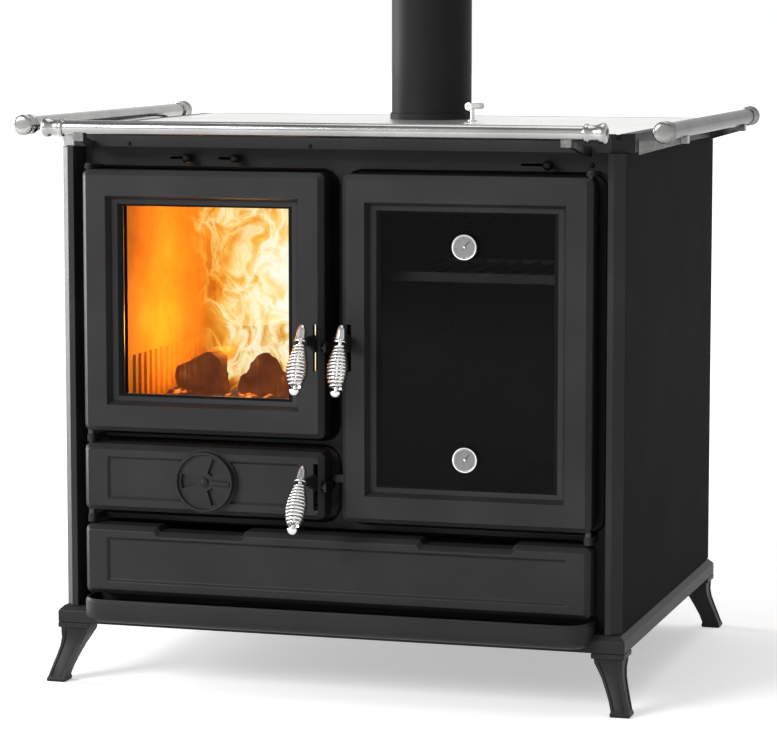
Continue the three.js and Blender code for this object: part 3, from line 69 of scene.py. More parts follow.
# ---- Floor and white surround ----
# A wide matt floor that catches the soft shadow, and a world that looks white but lights gently.
# Both are white only where they are looked at, straight, in a reflection or through glass, and the
# room's ceiling is greyer than its walls in a reflection.
class Wire:
    """A node's output in a material: + - * and / on it add Math nodes, add() adds any other node."""

    def __init__(self, tree, output):
        self.tree = tree
        self.output = output

    def add(self, kind, inputs, out=0, stops=None, **settings):
        node = self.tree.nodes.new(kind)
        for name, value in settings.items():
            setattr(node, name, value)
        if stops:
            ramp = node.color_ramp.elements
            while len(ramp) < len(stops):
                ramp.new(1.0)
            for element, (place, colour) in zip(ramp, stops):
                element.position = place
                element.color = (*colour, 1.0)
        for name, value in inputs.items():
            if isinstance(value, Wire):
                self.tree.links.new(value.output, node.inputs[name])
            else:
                node.inputs[name].default_value = value
        return Wire(self.tree, node.outputs[out])

    def math(self, operation, *values):
        return self.add("ShaderNodeMath", dict(enumerate(values)), operation=operation)

    def __add__(self, other):
        return self.math("ADD", self, other)

    def __sub__(self, other):
        return self.math("SUBTRACT", self, other)

    def __mul__(self, other):
        return self.math("MULTIPLY", self, other)

    def __truediv__(self, other):
        return self.math("DIVIDE", self, other)

    def __radd__(self, other):
        return self.math("ADD", other, self)

    def __rsub__(self, other):
        return self.math("SUBTRACT", other, self)

    def __rmul__(self, other):
        return self.math("MULTIPLY", other, self)

    def __rtruediv__(self, other):
        return self.math("DIVIDE", other, self)

    def limited(self, low, high):
        return self.math("MINIMUM", high, self.math("MAXIMUM", low, self))

    def above(self, limit):
        return self.math("GREATER_THAN", self, limit)

    def below(self, limit):
        return self.math("LESS_THAN", self, limit)

    def chosen(self, off, on):
        """The colour off where this mask is 0 and on where it is 1, by a colour Mix node's sockets."""
        return self.add("ShaderNodeMix", {0: self, 6: off, 7: on}, out=2, data_type="RGBA")

    def noise(self, scale, detail=3.0, rough=0.5, distortion=0.0):
        values = {"Vector": self, "Scale": scale, "Detail": detail, "Roughness": rough,
                  "Distortion": distortion}
        return self.add("ShaderNodeTexNoise", values)

    def stretched(self, x, y, z):
        return self.add("ShaderNodeMapping", {"Vector": self, "Scale": (x, y, z)})

    def ramp(self, *stops):
        return self.add("ShaderNodeValToRGB", {"Fac": self}, stops=stops)

    def part(self, letter):
        index = "XYZ".index(letter)
        return self.add("ShaderNodeSeparateXYZ", {"Vector": self}, out=index)


def looked_at(tree):
    """1 for a ray from the camera, from a glossy surface or through glass, else 0."""
    path = tree.nodes.new("ShaderNodeLightPath")
    straight, mirrored, through = (Wire(tree, path.outputs[f"Is {kind} Ray"])
                                   for kind in ("Camera", "Glossy", "Transmission"))
    return through.math("MAXIMUM", through, straight + mirrored)


def new_finish(name, colour, metal, rough, **others):
    """A material with its even values set, and its place on the object as a Wire."""
    material = bpy.data.materials.new(name)
    material.use_nodes = True
    shader = material.node_tree.nodes["Principled BSDF"]
    values = {"Base Color": (*colour, 1.0), "Metallic": metal, "Roughness": rough, **others}
    for socket, value in values.items():
        shader.inputs[socket].default_value = value
    coordinates = material.node_tree.nodes.new("ShaderNodeTexCoord")
    return material, Wire(material.node_tree, coordinates.outputs["Object"])


def feed(material, socket, wire):
    tree = material.node_tree
    tree.links.new(wire.output, tree.nodes["Principled BSDF"].inputs[socket])


# The world lights the stove with a share of what is seen of it. In a reflection it grows greyer with
# its direction's height, above the height where the ceiling starts.
UNSEEN_LIGHT = 0.3
CEILING_FROM = 0.3
CEILING_LOSS = 1.15

world = bpy.data.worlds.new("white_room")
bpy.context.scene.world = world
world.use_nodes = True
room = world.node_tree
sky = room.nodes["Background"]
sky.inputs["Color"].default_value = (1, 1, 1, 1)
height = Wire(room, room.nodes.new("ShaderNodeTexCoord").outputs["Generated"]).part("Z")
mirrored = Wire(room, room.nodes.new("ShaderNodeLightPath").outputs["Is Glossy Ray"])
ceiling = (height.limited(CEILING_FROM, 1.0) - CEILING_FROM) * CEILING_LOSS * mirrored
room_light = UNSEEN_LIGHT + looked_at(room) * (1 - UNSEEN_LIGHT) - ceiling
room.links.new(room_light.output, sky.inputs["Strength"])

# The floor glows a little where it is looked at, so that it is as white as the room. Near the stove
# it glows less and keeps the shadow.
FLOOR_HALF = 40
GLOW_NEAR = 0.45
GLOW_GROWS_FROM = 1.3
GLOW_GROWS_OVER = 2.6

floor_corners = [(x * FLOOR_HALF, y * FLOOR_HALF, 0) for x, y in ((-1, -1), (1, -1), (1, 1), (-1, 1))]
floor_mesh = bpy.data.meshes.new("floor")
floor_mesh.from_pydata(floor_corners, [], [(0, 1, 2, 3)])
floor = bpy.data.objects.new("floor", floor_mesh)
bpy.context.collection.objects.link(floor)
pale_floor, place = new_finish("pale_floor", (0.8, 0.8, 0.8), 0.0, 0.9,
                               **{"Specular IOR Level": 0.0, "Emission Strength": 1.0})
feed(pale_floor, "Base Color", place.noise(0.7, 2.0).ramp((0.3, (0.78, 0.78, 0.78)),
                                                          (0.7, (0.82, 0.82, 0.82))))
away = place.add("ShaderNodeVectorMath", {0: place}, out=1, operation="LENGTH")
far = ((away - GLOW_GROWS_FROM) / GLOW_GROWS_OVER).limited(0.0, 1.0)
glow = looked_at(pale_floor.node_tree) * (GLOW_NEAR + far * (1 - GLOW_NEAR))
feed(pale_floor, "Emission Color", glow.add("ShaderNodeCombineXYZ", {"X": glow, "Y": glow, "Z": glow}))
floor_mesh.materials.append(pale_floor)


# ---- Studio lamps ----
# A large soft lamp from the front left makes the faces that turn left light and those that turn
# right dark. A strip on the far left, a little behind, draws the light edges of the posts, the doors
# and the flue, and a weak lamp above evens out the top.
def lamp(name, place, aim, width, height, power):
    """A rectangular lamp at a place, turned about X and then Z so that it faces the aim."""
    light = bpy.data.lights.new(name, "AREA")
    light.shape = "RECTANGLE"
    light.size = width
    light.size_y = height
    light.energy = power
    holder = bpy.data.objects.new(name, light)
    holder.location = place
    right, back, up = np.array(aim) - np.array(place)
    holder.rotation_euler = (np.arctan2(np.hypot(right, back), -up), 0, np.arctan2(back, right) - np.pi / 2)
    bpy.context.collection.objects.link(holder)


lamp("key_lamp", place=(-3.2, FRONT - 4.0, 3.0), aim=(0, FRONT, 0.5), width=2.6, height=2.2, power=290)
lamp("left_strip", place=(-3.7, 0.95, 0.95), aim=(-0.3, -0.2, 0.65), width=1.2, height=1.8, power=135)
lamp("top_lamp", place=(0.3, 0.4, 4.2), aim=(0, 0, 0.8), width=3.0, height=3.0, power=60)


# ---- Castings ----
# Base, legs, ledge, front plate, corner posts and top frame are grey iron castings under a satin
# black stove paint. Their edges are softened copies of the plain solids, with the same outlines.
record = frame["record"]
bodies = {node: body for body, nodes in record["behaviour"]["bodies"].items() for node in nodes}

# In a softened copy, points nearer than this are one, and faces that meet at less than this angle are
# one flat face. Widths are in metres, angles in degrees.
MERGE_WITHIN = 2e-6
FLAT_WITHIN = 0.6


def bump(material, height, strength, distance):
    values = {"Strength": strength, "Distance": distance, "Height": height}
    feed(material, "Normal", height.add("ShaderNodeBump", values))


def put_on(piece, node, material):
    """The piece stands for the node: it takes its body and the given material."""
    piece.data.materials.clear()
    piece.data.materials.append(material)
    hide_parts(node)
    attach(piece, bodies[node])


def softened(node, material, width, angle=35, parts=3):
    """Puts a copy of a node's mesh in its place: flat faces joined, edges round over the given width."""
    mesh = frame["nodes"][node].data.copy()
    shape = bmesh.new()
    shape.from_mesh(mesh)
    bmesh.ops.remove_doubles(shape, verts=shape.verts, dist=MERGE_WITHIN)
    bmesh.ops.dissolve_degenerate(shape, edges=shape.edges, dist=MERGE_WITHIN)
    bmesh.ops.dissolve_limit(shape, angle_limit=np.radians(FLAT_WITHIN), verts=shape.verts,
                             edges=shape.edges)
    shape.to_mesh(mesh)
    shape.free()
    for name in [layer.name for layer in mesh.attributes if layer.name.startswith("custom")]:
        mesh.attributes.remove(mesh.attributes[name])
    mesh.shade_smooth()
    piece = bpy.data.objects.new(f"{node}_cast", mesh)
    bpy.context.collection.objects.link(piece)
    edge = piece.modifiers.new("edges", "BEVEL")
    edge.width = width
    edge.segments = parts
    edge.limit_method = "ANGLE"
    edge.angle_limit = np.radians(angle)
    edge.harden_normals = True
    put_on(piece, node, material)


def casting_paint(name):
    """The castings' paint with its bump: the material, its place, grain and cloud, and its colour."""
    material, spot = new_finish(name, (0.021, 0.021, 0.0225), 0.0, 0.46,
                                **{"Specular IOR Level": 0.5, "IOR": 1.26})
    grain = spot.noise(620, 3.0, 0.6)
    cloud = spot.noise(9, 4.0, 0.55)
    colour = cloud.ramp((0.3, (0.0175, 0.0175, 0.019)), (0.55, (0.022, 0.022, 0.0235)),
                        (0.75, (0.028, 0.028, 0.029)))
    bump(material, grain + spot.noise(1500, 2.0, 0.5) * 0.5 + cloud * 0.6, strength=0.16, distance=0.0006)
    return material, spot, grain, cloud, colour


def shade_painted_casting(name, shade_from):
    """The castings' paint, black and dull everywhere behind the given depth: the black is painted shade."""
    material, spot, grain, cloud, colour = casting_paint(name)
    # Behind the given depth the colour is near black, a painted shade for recesses and lips.
    in_painted_shade = spot.part("Y").above(shade_from)
    black = grain.ramp((0.3, (0.001, 0.001, 0.001)), (0.7, (0.003, 0.003, 0.003)))
    feed(material, "Base Color", in_painted_shade.chosen(colour, black))
    feed(material, "Roughness", 0.38 + grain * 0.08 + cloud * 0.1 + in_painted_shade * 0.4)
    return material


casting, spot, grain, cloud, colour = casting_paint("black_casting")
smudge = spot.noise(38, 3.0, 0.6)
feed(casting, "Base Color", colour)
feed(casting, "Roughness", 0.36 + grain * 0.08 + cloud * 0.08 + smudge * 0.06)
for node in ("base_plate", "hearth_ledge", "corner_post_left", "corner_post_right", "top_frame"):
    softened(node, casting, width=0.0016)
for node in ("leg_front_left", "leg_front_right", "leg_rear_left", "leg_rear_right"):
    softened(node, casting, width=0.0012, angle=40)


# The plate's lips and the walls of its openings, just behind its face, are painted black as painted shade
# for the dark recesses round the doors. Its face isn't.
PLATE_SHADE_FROM = FRONT + 0.0456
softened("front_plate", shade_painted_casting("front_plate_casting", PLATE_SHADE_FROM), width=0.0010)


# ---- Side and back panels ----
# Flat steel sheet with a smooth black paint, darker than the castings, hung between the posts.
# The paint has a faint orange peel, and the sheet a very slight long wave.
sheet_paint, spot = new_finish("black_sheet", (0.012, 0.012, 0.013), 0.0, 0.55,
                               **{"Specular IOR Level": 0.06, "IOR": 1.12})
peel = spot.noise(240, 2.0, 0.45)
wave = spot.noise(2.2, 1.0)
feed(sheet_paint, "Base Color", spot.noise(5, 3.0).ramp((0.3, (0.0105, 0.0105, 0.0115)),
                                                        (0.7, (0.0145, 0.0145, 0.0155))))
feed(sheet_paint, "Roughness", 0.5 + peel * 0.06 + spot.noise(14, 3.0) * 0.08)
bump(sheet_paint, peel + wave * 4.0, strength=0.08, distance=0.0008)
for node in ("side_panel_left", "side_panel_right", "back_panel"):
    softened(node, sheet_paint, width=0.0006, parts=2)


# ---- Cooking plate ----
# A thick steel plate, ground and polished on its top, set in the frame with a thin dark joint.
# Fine grinding lines run from side to side. Its edges, down in the joint, are coloured near black, which
# makes the joint dark.
steel, spot = new_finish("polished_plate", (0.88, 0.87, 0.85), 1.0, 0.24)
PLATE_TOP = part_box("cooking_plate")[1][2]
EDGE_DOWN = 0.0009
edge = spot.part("Z").below(PLATE_TOP - EDGE_DOWN)
lines = spot.stretched(1.2, 190, 190).noise(6, 4.0, 0.65)
stain = spot.noise(4.5, 4.0, 0.6)
polished = stain.ramp((0.3, (0.8, 0.79, 0.775)), (0.5, (0.88, 0.875, 0.86)),
                      (0.72, (0.93, 0.92, 0.9)))
scale = lines.ramp((0.3, (0.006, 0.006, 0.006)), (0.7, (0.02, 0.019, 0.018)))
feed(steel, "Base Color", edge.chosen(polished, scale))
feed(steel, "Roughness", 0.17 + lines * 0.12 + stain * 0.1 + edge * 0.35)
bump(steel, lines, strength=0.06, distance=0.0003)
softened("cooking_plate", steel, width=0.0008, parts=2)


# ---- Flue pipe and collar ----
# A plain black steel pipe with a rounded rim stands in a low turned collar.
# Both are true round here, turned from their profiles.
DOUBLES_WITHIN = 1e-7


def cut_corners(profile, times):
    """Rounds a profile: each pass puts points at 1/4 and 3/4 of every span and keeps both ends."""
    points = np.array(profile, float)
    for _ in range(times):
        near = 0.75 * points[:-1] + 0.25 * points[1:]
        far = 0.25 * points[:-1] + 0.75 * points[1:]
        middle = np.stack([near, far], 1).reshape(-1, 2)
        points = np.vstack([points[:1], middle[1:-1], points[-1:]])
    return points


def lay_mesh(name, rows, round_rows=True, round_columns=False):
    """A mesh over a grid of points [row, column, xyz], closed along its rows, its columns or neither.

    Doubles are merged, the open ends of closed rows are filled and the faces turned outwards."""
    count, across = rows.shape[:2]
    i = np.arange(count if round_columns else count - 1)
    j = np.arange(across if round_rows else across - 1)
    a, b = (grid.ravel() for grid in np.meshgrid(i, j, indexing="ij"))
    below = (a + 1) % count
    right = (b + 1) % across
    faces = np.stack([a * across + b, a * across + right,
                      below * across + right, below * across + b], 1)
    mesh = bpy.data.meshes.new(name)
    mesh.from_pydata(rows.reshape(-1, 3).tolist(), [], faces.tolist())
    shape = bmesh.new()
    shape.from_mesh(mesh)
    bmesh.ops.remove_doubles(shape, verts=shape.verts, dist=DOUBLES_WITHIN)
    open_edges = [edge for edge in shape.edges if edge.is_boundary]
    if round_rows and open_edges:
        bmesh.ops.holes_fill(shape, edges=open_edges, sides=0)
    bmesh.ops.recalc_face_normals(shape, faces=shape.faces)
    shape.to_mesh(mesh)
    shape.free()
    mesh.shade_smooth()
    piece = bpy.data.objects.new(name, mesh)
    bpy.context.collection.objects.link(piece)
    return piece


def turn(name, profile, axis, centre, count=64, closed=False):
    """A turned piece: (r, w) goes round as r cos t, r sin t beside the axis and w along it."""
    points = np.array(profile)
    angle = np.linspace(0, 2 * np.pi, count, endpoint=False)
    radius = points[:, :1] * np.ones(count)
    along = points[:, 1:] * np.ones(count)
    beside = [radius * np.cos(angle), radius * np.sin(angle)]
    order = {"x": [along, *beside], "y": [beside[0], along, beside[1]], "z": [*beside, along]}[axis]
    return lay_mesh(name, np.stack(order, -1) + np.array(centre), round_columns=closed)


def sharpen(piece, angle):
    """Keeps creases above the given angle sharp and shades the rest smooth."""
    piece.data.set_sharp_from_angle(angle=np.radians(angle))


pipe_low, pipe_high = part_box("flue_pipe")
collar_low, collar_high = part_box("flue_collar")
FLUE = (0.0, (pipe_low[1] + pipe_high[1]) / 2, 0.0)
PIPE_RADIUS = (pipe_high[1] - pipe_low[1]) / 2
PIPE_BORE = PIPE_RADIUS - 0.002
COLLAR_RADIUS = (collar_high[1] - collar_low[1]) / 2
COLLAR_BORE = PIPE_RADIUS + 0.0003
RIM = 0.0008
bottom, top = pipe_low[2], pipe_high[2]
pipe_profile = [(PIPE_BORE, bottom), (PIPE_RADIUS, bottom), (PIPE_RADIUS, bottom + 0.012),
                (PIPE_RADIUS, top - 0.06), (PIPE_RADIUS, top - RIM), (PIPE_RADIUS - RIM, top),
                (PIPE_BORE + 0.0006, top), (PIPE_BORE, top - RIM)]
pipe = turn("flue_pipe_round", pipe_profile, "z", FLUE, count=128, closed=True)
sharpen(pipe, 40)
bottom, top = collar_low[2], collar_high[2]
collar_profile = [(COLLAR_BORE, bottom), (COLLAR_RADIUS, bottom), (COLLAR_RADIUS, top - 0.0012),
                  (COLLAR_RADIUS - 0.0003, top - 0.0004), (COLLAR_RADIUS - 0.001, top),
                  (COLLAR_BORE, top)]
collar = turn("flue_collar_round", collar_profile, "z", FLUE, count=128, closed=True)
sharpen(collar, 40)

flue_paint, spot = new_finish("flue_black", (0.014, 0.014, 0.015), 0.0, 0.4,
                              **{"Specular IOR Level": 0.5, "IOR": 1.17})
peel = spot.noise(300, 2.0, 0.5)
feed(flue_paint, "Base Color", spot.noise(7, 3.0).ramp((0.3, (0.01, 0.01, 0.0105)),
                                                       (0.7, (0.015, 0.015, 0.0155))))
feed(flue_paint, "Roughness", 0.46 + peel * 0.07 + spot.noise(20, 3.0) * 0.06)
bump(flue_paint, peel, strength=0.07, distance=0.0005)
put_on(pipe, "flue_pipe", flue_paint)
put_on(collar, "flue_collar", flue_paint)


# ---- T-handle and bypass flap ----
# A turned steel bar on a thin post turns the flap that sends the smoke round the oven.
# The flap below the plate is bare iron, dull with soot.
chrome, spot = new_finish("chrome_handle", (0.66, 0.65, 0.63), 1.0, 0.22)
swirl = spot.noise(420, 3.0, 0.6)
feed(chrome, "Base Color", spot.noise(30, 3.0).ramp((0.3, (0.56, 0.55, 0.54)),
                                                    (0.7, (0.74, 0.73, 0.71))))
feed(chrome, "Roughness", 0.16 + swirl * 0.14)
bump(chrome, swirl, strength=0.05, distance=0.0002)
softened("bypass_handle", chrome, width=0.0006, angle=45)

soot, spot = new_finish("sooted_iron", (0.05, 0.04, 0.034), 0.0, 0.85,
                        **{"Specular IOR Level": 0.2})
crust = spot.noise(160, 5.0, 0.7)
feed(soot, "Base Color", crust.ramp((0.3, (0.022, 0.018, 0.016)), (0.55, (0.06, 0.047, 0.038)),
                                    (0.8, (0.13, 0.105, 0.085))))
feed(soot, "Roughness", 0.72 + crust * 0.22)
bump(soot, crust, strength=0.35, distance=0.001)
softened("bypass_flap", soot, width=0.0005, angle=45)


# ---- Rails ----
# Satin-chromed steel tubes, each with a round cap, a waist and a bead at its ends, one across the
# front and one along each side. They keep pots on the plate and cloths off it.
def rail_finish(name, even, even_rough, least_rough, colours, **others):
    """Brushed satin chrome, with three colours from much handled to untouched."""
    material, spot = new_finish(name, even, 1.0, even_rough, **others)
    brushed = spot.noise(520, 3.0, 0.6)
    hand = spot.noise(11, 4.0, 0.6)
    feed(material, "Base Color", hand.ramp(*zip((0.3, 0.5, 0.75), colours)))
    feed(material, "Roughness", least_rough + brushed * 0.08 + hand * 0.06)
    bump(material, brushed, strength=0.06, distance=0.0002)
    return material


def rail(node, axis, radius, cap, finish):
    """A rail turned round its axis, of the given tube and cap radius. Its end's profile is in mm."""
    low, high = np.array(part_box(node))
    along = "xyz".index(axis)
    centre = (low + high) / 2
    centre[along] = 0.0
    end = np.array([(0, 0), (cap - 7, 0.3), (cap - 3, 1.4), (cap - 0.4, 3.6), (cap, 7.5),
                    (cap - 0.9, 11.5), (radius + 1.6, 16), (radius + 0.9, 22), (radius + 1.6, 27.5),
                    (radius + 2.9, 29.2), (radius + 3.1, 31.5), (radius + 2.9, 34), (radius, 34.6),
                    (radius, 37)]) / 1000
    end = cut_corners(end, 2)
    near = end + (0, low[along])
    far = np.stack([end[::-1, 0], high[along] - end[::-1, 1]], 1)
    piece = turn(f"{node}_turned", np.vstack([near, far]), axis, centre, count=48)
    sharpen(piece, 50)
    put_on(piece, node, finish)


# The right rail's steel is painted darker: a painted shade for the rail on the side away from the lamps.
satin = rail_finish("satin_rail", (0.6, 0.59, 0.57), 0.32, 0.12,
                    ((0.3, 0.298, 0.293), (0.35, 0.347, 0.341), (0.41, 0.407, 0.4)))
shaded_satin = rail_finish("satin_rail_painted_shade", (0.24, 0.238, 0.233), 0.2, 0.16,
                         ((0.21, 0.208, 0.205), (0.25, 0.248, 0.243), (0.3, 0.298, 0.292)),
                         **{"Specular Tint": (0.55, 0.55, 0.55, 1.0)})
rail("front_rail", "x", radius=11, cap=15.5, finish=satin)
rail("side_rail_left", "y", radius=12.5, cap=16.2, finish=satin)
rail("side_rail_right", "y", radius=12.5, cap=16.2, finish=shaded_satin)


# ---- Small fittings ----
# The rails' brackets are dark bare steel. Hinge pins, catches and latches have a hard, glossy black
# that shows bare metal where they rub, and the slide knobs and screws a plain dull black.
hardware, spot = new_finish("black_hardware", (0.012, 0.012, 0.013), 0.0, 0.34,
                            **{"Specular IOR Level": 0.5})
rub = spot.noise(170, 4.0, 0.65)
feed(hardware, "Base Color", rub.ramp((0.35, (0.01, 0.01, 0.011)), (0.62, (0.015, 0.015, 0.016)),
                                      (0.78, (0.05, 0.05, 0.051))))
feed(hardware, "Roughness", 0.26 + rub * 0.18)
bump(hardware, rub, strength=0.12, distance=0.0003)

bright_fitting, spot = new_finish("bright_bracket", (0.17, 0.17, 0.167), 1.0, 0.3)
rub = spot.noise(110, 3.0, 0.6)
feed(bright_fitting, "Base Color", rub.ramp((0.3, (0.12, 0.12, 0.118)), (0.7, (0.22, 0.22, 0.216))))
feed(bright_fitting, "Roughness", 0.24 + rub * 0.12)
bump(bright_fitting, rub, strength=0.1, distance=0.0003)

for side in ("left", "right"):
    for bracket in ("front_bracket", "side_bracket_front", "side_bracket_rear"):
        softened(f"{bracket}_{side}", bright_fitting, width=0.0008, parts=2)
for node in ("fire_hinge_pin", "oven_hinge_pin", "ash_hinge_pin", "catch_middle", "catch_ash",
             "fire_latch", "oven_latch", "ash_latch"):
    softened(node, hardware, width=0.0005, angle=40, parts=2)

knob_black, spot = new_finish("knob_black", (0.006, 0.006, 0.0065), 0.0, 0.4,
                              **{"Specular IOR Level": 0.12})
touch = spot.noise(210, 3.0, 0.6)
feed(knob_black, "Base Color", touch.ramp((0.35, (0.005, 0.005, 0.0055)),
                                          (0.7, (0.009, 0.009, 0.0095))))
feed(knob_black, "Roughness", 0.34 + touch * 0.14)
bump(knob_black, touch, strength=0.06, distance=0.0002)
for node in ("knob_air_left", "knob_air_middle", "knob_damper"):
    softened(node, knob_black, width=0.0012, angle=12)

# Pan-head screws hold the front plate: two in the frame's front edge and one beside the oven door.
HEAD_HEIGHT = 0.0021
for name, x, seat, z, r in (("screw_left", -0.3307, FRONT + 0.0157, 0.8366, 0.0032),
                            ("screw_middle", -0.0410, FRONT + 0.0157, 0.8366, 0.0032),
                            ("screw_right", 0.3863, FRONT + 0.0447, 0.8124, 0.0040)):
    y = seat - HEAD_HEIGHT
    head_profile = [(0, y), (r * 0.45, y + 0.0001), (r * 0.8, y + 0.0006), (r, y + 0.0014),
                    (r, seat), (0, seat)]
    head = turn(name, head_profile, "y", (x, 0.0, z), count=32)
    sharpen(head, 50)
    head.data.materials.append(knob_black)
    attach(head, "stove")


# ---- Doors ----
# Cast frames with a bevelled rim and a stepped moulding round the window, the ash door with a sunk
# panel and a boss for its air wheel, and the wood drawer's front with two finger notches.
for node in ("ash_door_frame", "drawer_front"):
    softened(node, casting, width=0.0014)

# On the two window doors the innermost lip, where the seal lies, and all behind it is painted black:
# painted shade for the dark border round the glass.
DOOR_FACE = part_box("fire_door_frame")[0][1]
LIP_DEPTH = 0.0143
window_casting = shade_painted_casting("window_door_casting", DOOR_FACE + LIP_DEPTH)
for node in ("fire_door_frame", "oven_door_frame"):
    softened(node, window_casting, width=0.0012)
for node in ("fire_door_retainer", "oven_door_retainer"):
    softened(node, hardware, width=0.0004, parts=2)
softened("air_wheel", casting, width=0.0009)


# ---- Door glass ----
# Heat-proof glass. The fire's is nearly clear, with a faint uneven haze, and the oven's is dark, so
# that the rack behind it only just shows.
def pane(node, name, colour, cover, haze):
    """Glass in a node's own solid, which covers this share of what is behind it, and more by its haze."""
    material, spot = new_finish(name, colour, 0.0, 0.03, **{"Specular IOR Level": 0.07})
    film = spot.noise(26, 4.0, 0.6)
    feed(material, "Alpha", cover + film * haze)
    feed(material, "Roughness", 0.02 + film * 0.03)
    frame["nodes"][node].material_slots[0].material = material


pane("fire_door_glass", "fire_glass", (0.02, 0.014, 0.01), cover=0.04, haze=0.05)
pane("oven_door_glass", "oven_glass", (0.003, 0.003, 0.0035), cover=0.58, haze=0.06)


# ---- Spring grips ----
# Each grip is a bright wire wound in a barrel shape round a rod, between a tapered ferrule and a
# rounded tip, so that it stays cool. It hangs from its latch's lever and leans forward.
FERRULE_END = 0.027
GRIP_LENGTH = 0.110
TIP_START = GRIP_LENGTH - 0.009
GRIP_OUT = 0.0605
GRIP_ABOVE_PIVOT = 0.039
WIRE_RADIUS = 0.002
COILS = 12
COIL_ROOM = 0.0012
NARROW_COIL = 0.007
WIDE_COIL = 0.0144


def coil_rows():
    """Points round a wire on a helix of steady pitch.

    At the share s of its way, its radius is a + (b - a) sin(pi s^1.3)^0.8."""
    share = np.linspace(0, 1, COILS * 32 + 1)
    angle = 2 * np.pi * COILS * share
    radius = NARROW_COIL + (WIDE_COIL - NARROW_COIL) * np.sin(np.pi * share ** 1.3) ** 0.8
    start = FERRULE_END + 2 * WIRE_RADIUS + COIL_ROOM
    end = TIP_START - 2 * WIRE_RADIUS - COIL_ROOM
    along = start + (end - start) * share
    line = np.stack([radius * np.cos(angle), radius * np.sin(angle), along], 1)
    ahead = np.gradient(line, axis=0)
    ahead /= np.linalg.norm(ahead, axis=1, keepdims=True)
    outward = np.stack([np.cos(angle), np.sin(angle), 0 * angle], 1)
    outward -= (outward * ahead).sum(1, keepdims=True) * ahead
    outward /= np.linalg.norm(outward, axis=1, keepdims=True)
    upward = np.cross(ahead, outward)
    turn_by = np.linspace(0, 2 * np.pi, 10, endpoint=False)[None, :, None]
    ring = np.cos(turn_by) * outward[:, None] + np.sin(turn_by) * upward[:, None]
    return line[:, None] + WIRE_RADIUS * ring


def turned_rows(profile, count=32):
    """Points of a turned piece round its own Z: r cos t, r sin t, w."""
    points = np.array(profile)
    angle = np.linspace(0, 2 * np.pi, count, endpoint=False)
    return np.stack([points[:, :1] * np.cos(angle), points[:, :1] * np.sin(angle),
                     points[:, 1:] * np.ones(count)], -1)


spring, spot = new_finish("spring_grip", (0.74, 0.735, 0.72), 1.0, 0.2)
drawn = spot.noise(900, 2.0, 0.5)
feed(spring, "Base Color", spot.noise(60, 3.0).ramp((0.3, (0.64, 0.635, 0.62)),
                                                    (0.7, (0.82, 0.815, 0.8))))
feed(spring, "Roughness", 0.14 + drawn * 0.12)
bump(spring, drawn, strength=0.05, distance=0.0001)

# The profiles give a radius and a place along the grip, from its top.
ferrule_profile = cut_corners([(0, 0), (0.003, 0), (0.0043, 0.0012), (0.0052, 0.0035),
                               (0.0064, 0.006), (0.0085, 0.0235), (0.0098, 0.0242), (0.01, 0.0255),
                               (0.0098, 0.0268), (0.007, 0.0272), (0, 0.0272)], 2)
rod_profile = [(0, 0.026), (0.003, 0.026), (0.003, TIP_START + 0.001), (0, TIP_START + 0.001)]
tip_profile = cut_corners([(0, TIP_START), (0.0082, TIP_START), (0.0086, TIP_START + 0.0004),
                           (0.0086, TIP_START + 0.0022), (0.0068, GRIP_LENGTH - 0.0032),
                           (0.0038, GRIP_LENGTH - 0.0007), (0, GRIP_LENGTH)], 2)

# Each grip's top is beside its latch's slot and above its pivot. The tilt from upright is in degrees.
for kind, slot_x, pivot_z, tilt, aside in (("fire", -0.0243, 0.5353, 23, -0.0044),
                                           ("oven", 0.0283, 0.5367, 18.5, 0.0044),
                                           ("ash", -0.0243, 0.3235, 30, -0.0044)):
    turn_x = np.radians(180 - tilt)
    rotation = np.array([[1, 0, 0], [0, np.cos(turn_x), -np.sin(turn_x)],
                         [0, np.sin(turn_x), np.cos(turn_x)]])
    top = np.array([slot_x + aside, FRONT - GRIP_OUT, pivot_z + GRIP_ABOVE_PIVOT])
    joined = bmesh.new()
    for rows in (turned_rows(ferrule_profile), turned_rows(rod_profile, 16), coil_rows(),
                 turned_rows(tip_profile)):
        part = lay_mesh(f"{kind}_grip_part", rows @ rotation.T + top)
        joined.from_mesh(part.data)
        bpy.data.objects.remove(part)
    mesh = bpy.data.meshes.new(f"{kind}_spring")
    joined.to_mesh(mesh)
    joined.free()
    mesh.shade_smooth()
    piece = bpy.data.objects.new(f"{kind}_spring", mesh)
    bpy.context.collection.objects.link(piece)
    sharpen(piece, 50)
    put_on(piece, f"{kind}_grip", spring)


# ---- Oven thermometers ----
# Round dials in chromed bezels on the oven glass: a grey face with a ring of ticks, a dark pointer
# turned up to the right and a bright pivot. A thin stem goes on behind.
def flat_piece(name, outline, centre, back, thickness, material):
    """A plate with the outline [[x, z]] round a centre, as thick as given, in front of its back."""
    ring = np.array(outline)
    behind = np.stack([ring[:, 0], np.full(len(ring), back), ring[:, 1]], 1) + centre
    piece = lay_mesh(name, np.stack([behind, behind - (0, thickness, 0)]))
    piece.data.shade_flat()
    piece.data.materials.append(material)
    return piece


def disc(radius):
    t = np.linspace(0, 2 * np.pi, 48, endpoint=False)
    return np.stack([radius * np.cos(t), radius * np.sin(t)], 1)


def bar(degrees, start, end, start_half, end_half):
    """The outline of a tapered bar that points at an angle from the centre, with its two half widths."""
    a = np.radians(degrees)
    ahead = np.array([np.cos(a), np.sin(a)])
    across = np.array([-np.sin(a), np.cos(a)])
    return [start * ahead - start_half * across, end * ahead - end_half * across,
            end * ahead + end_half * across, start * ahead + start_half * across]


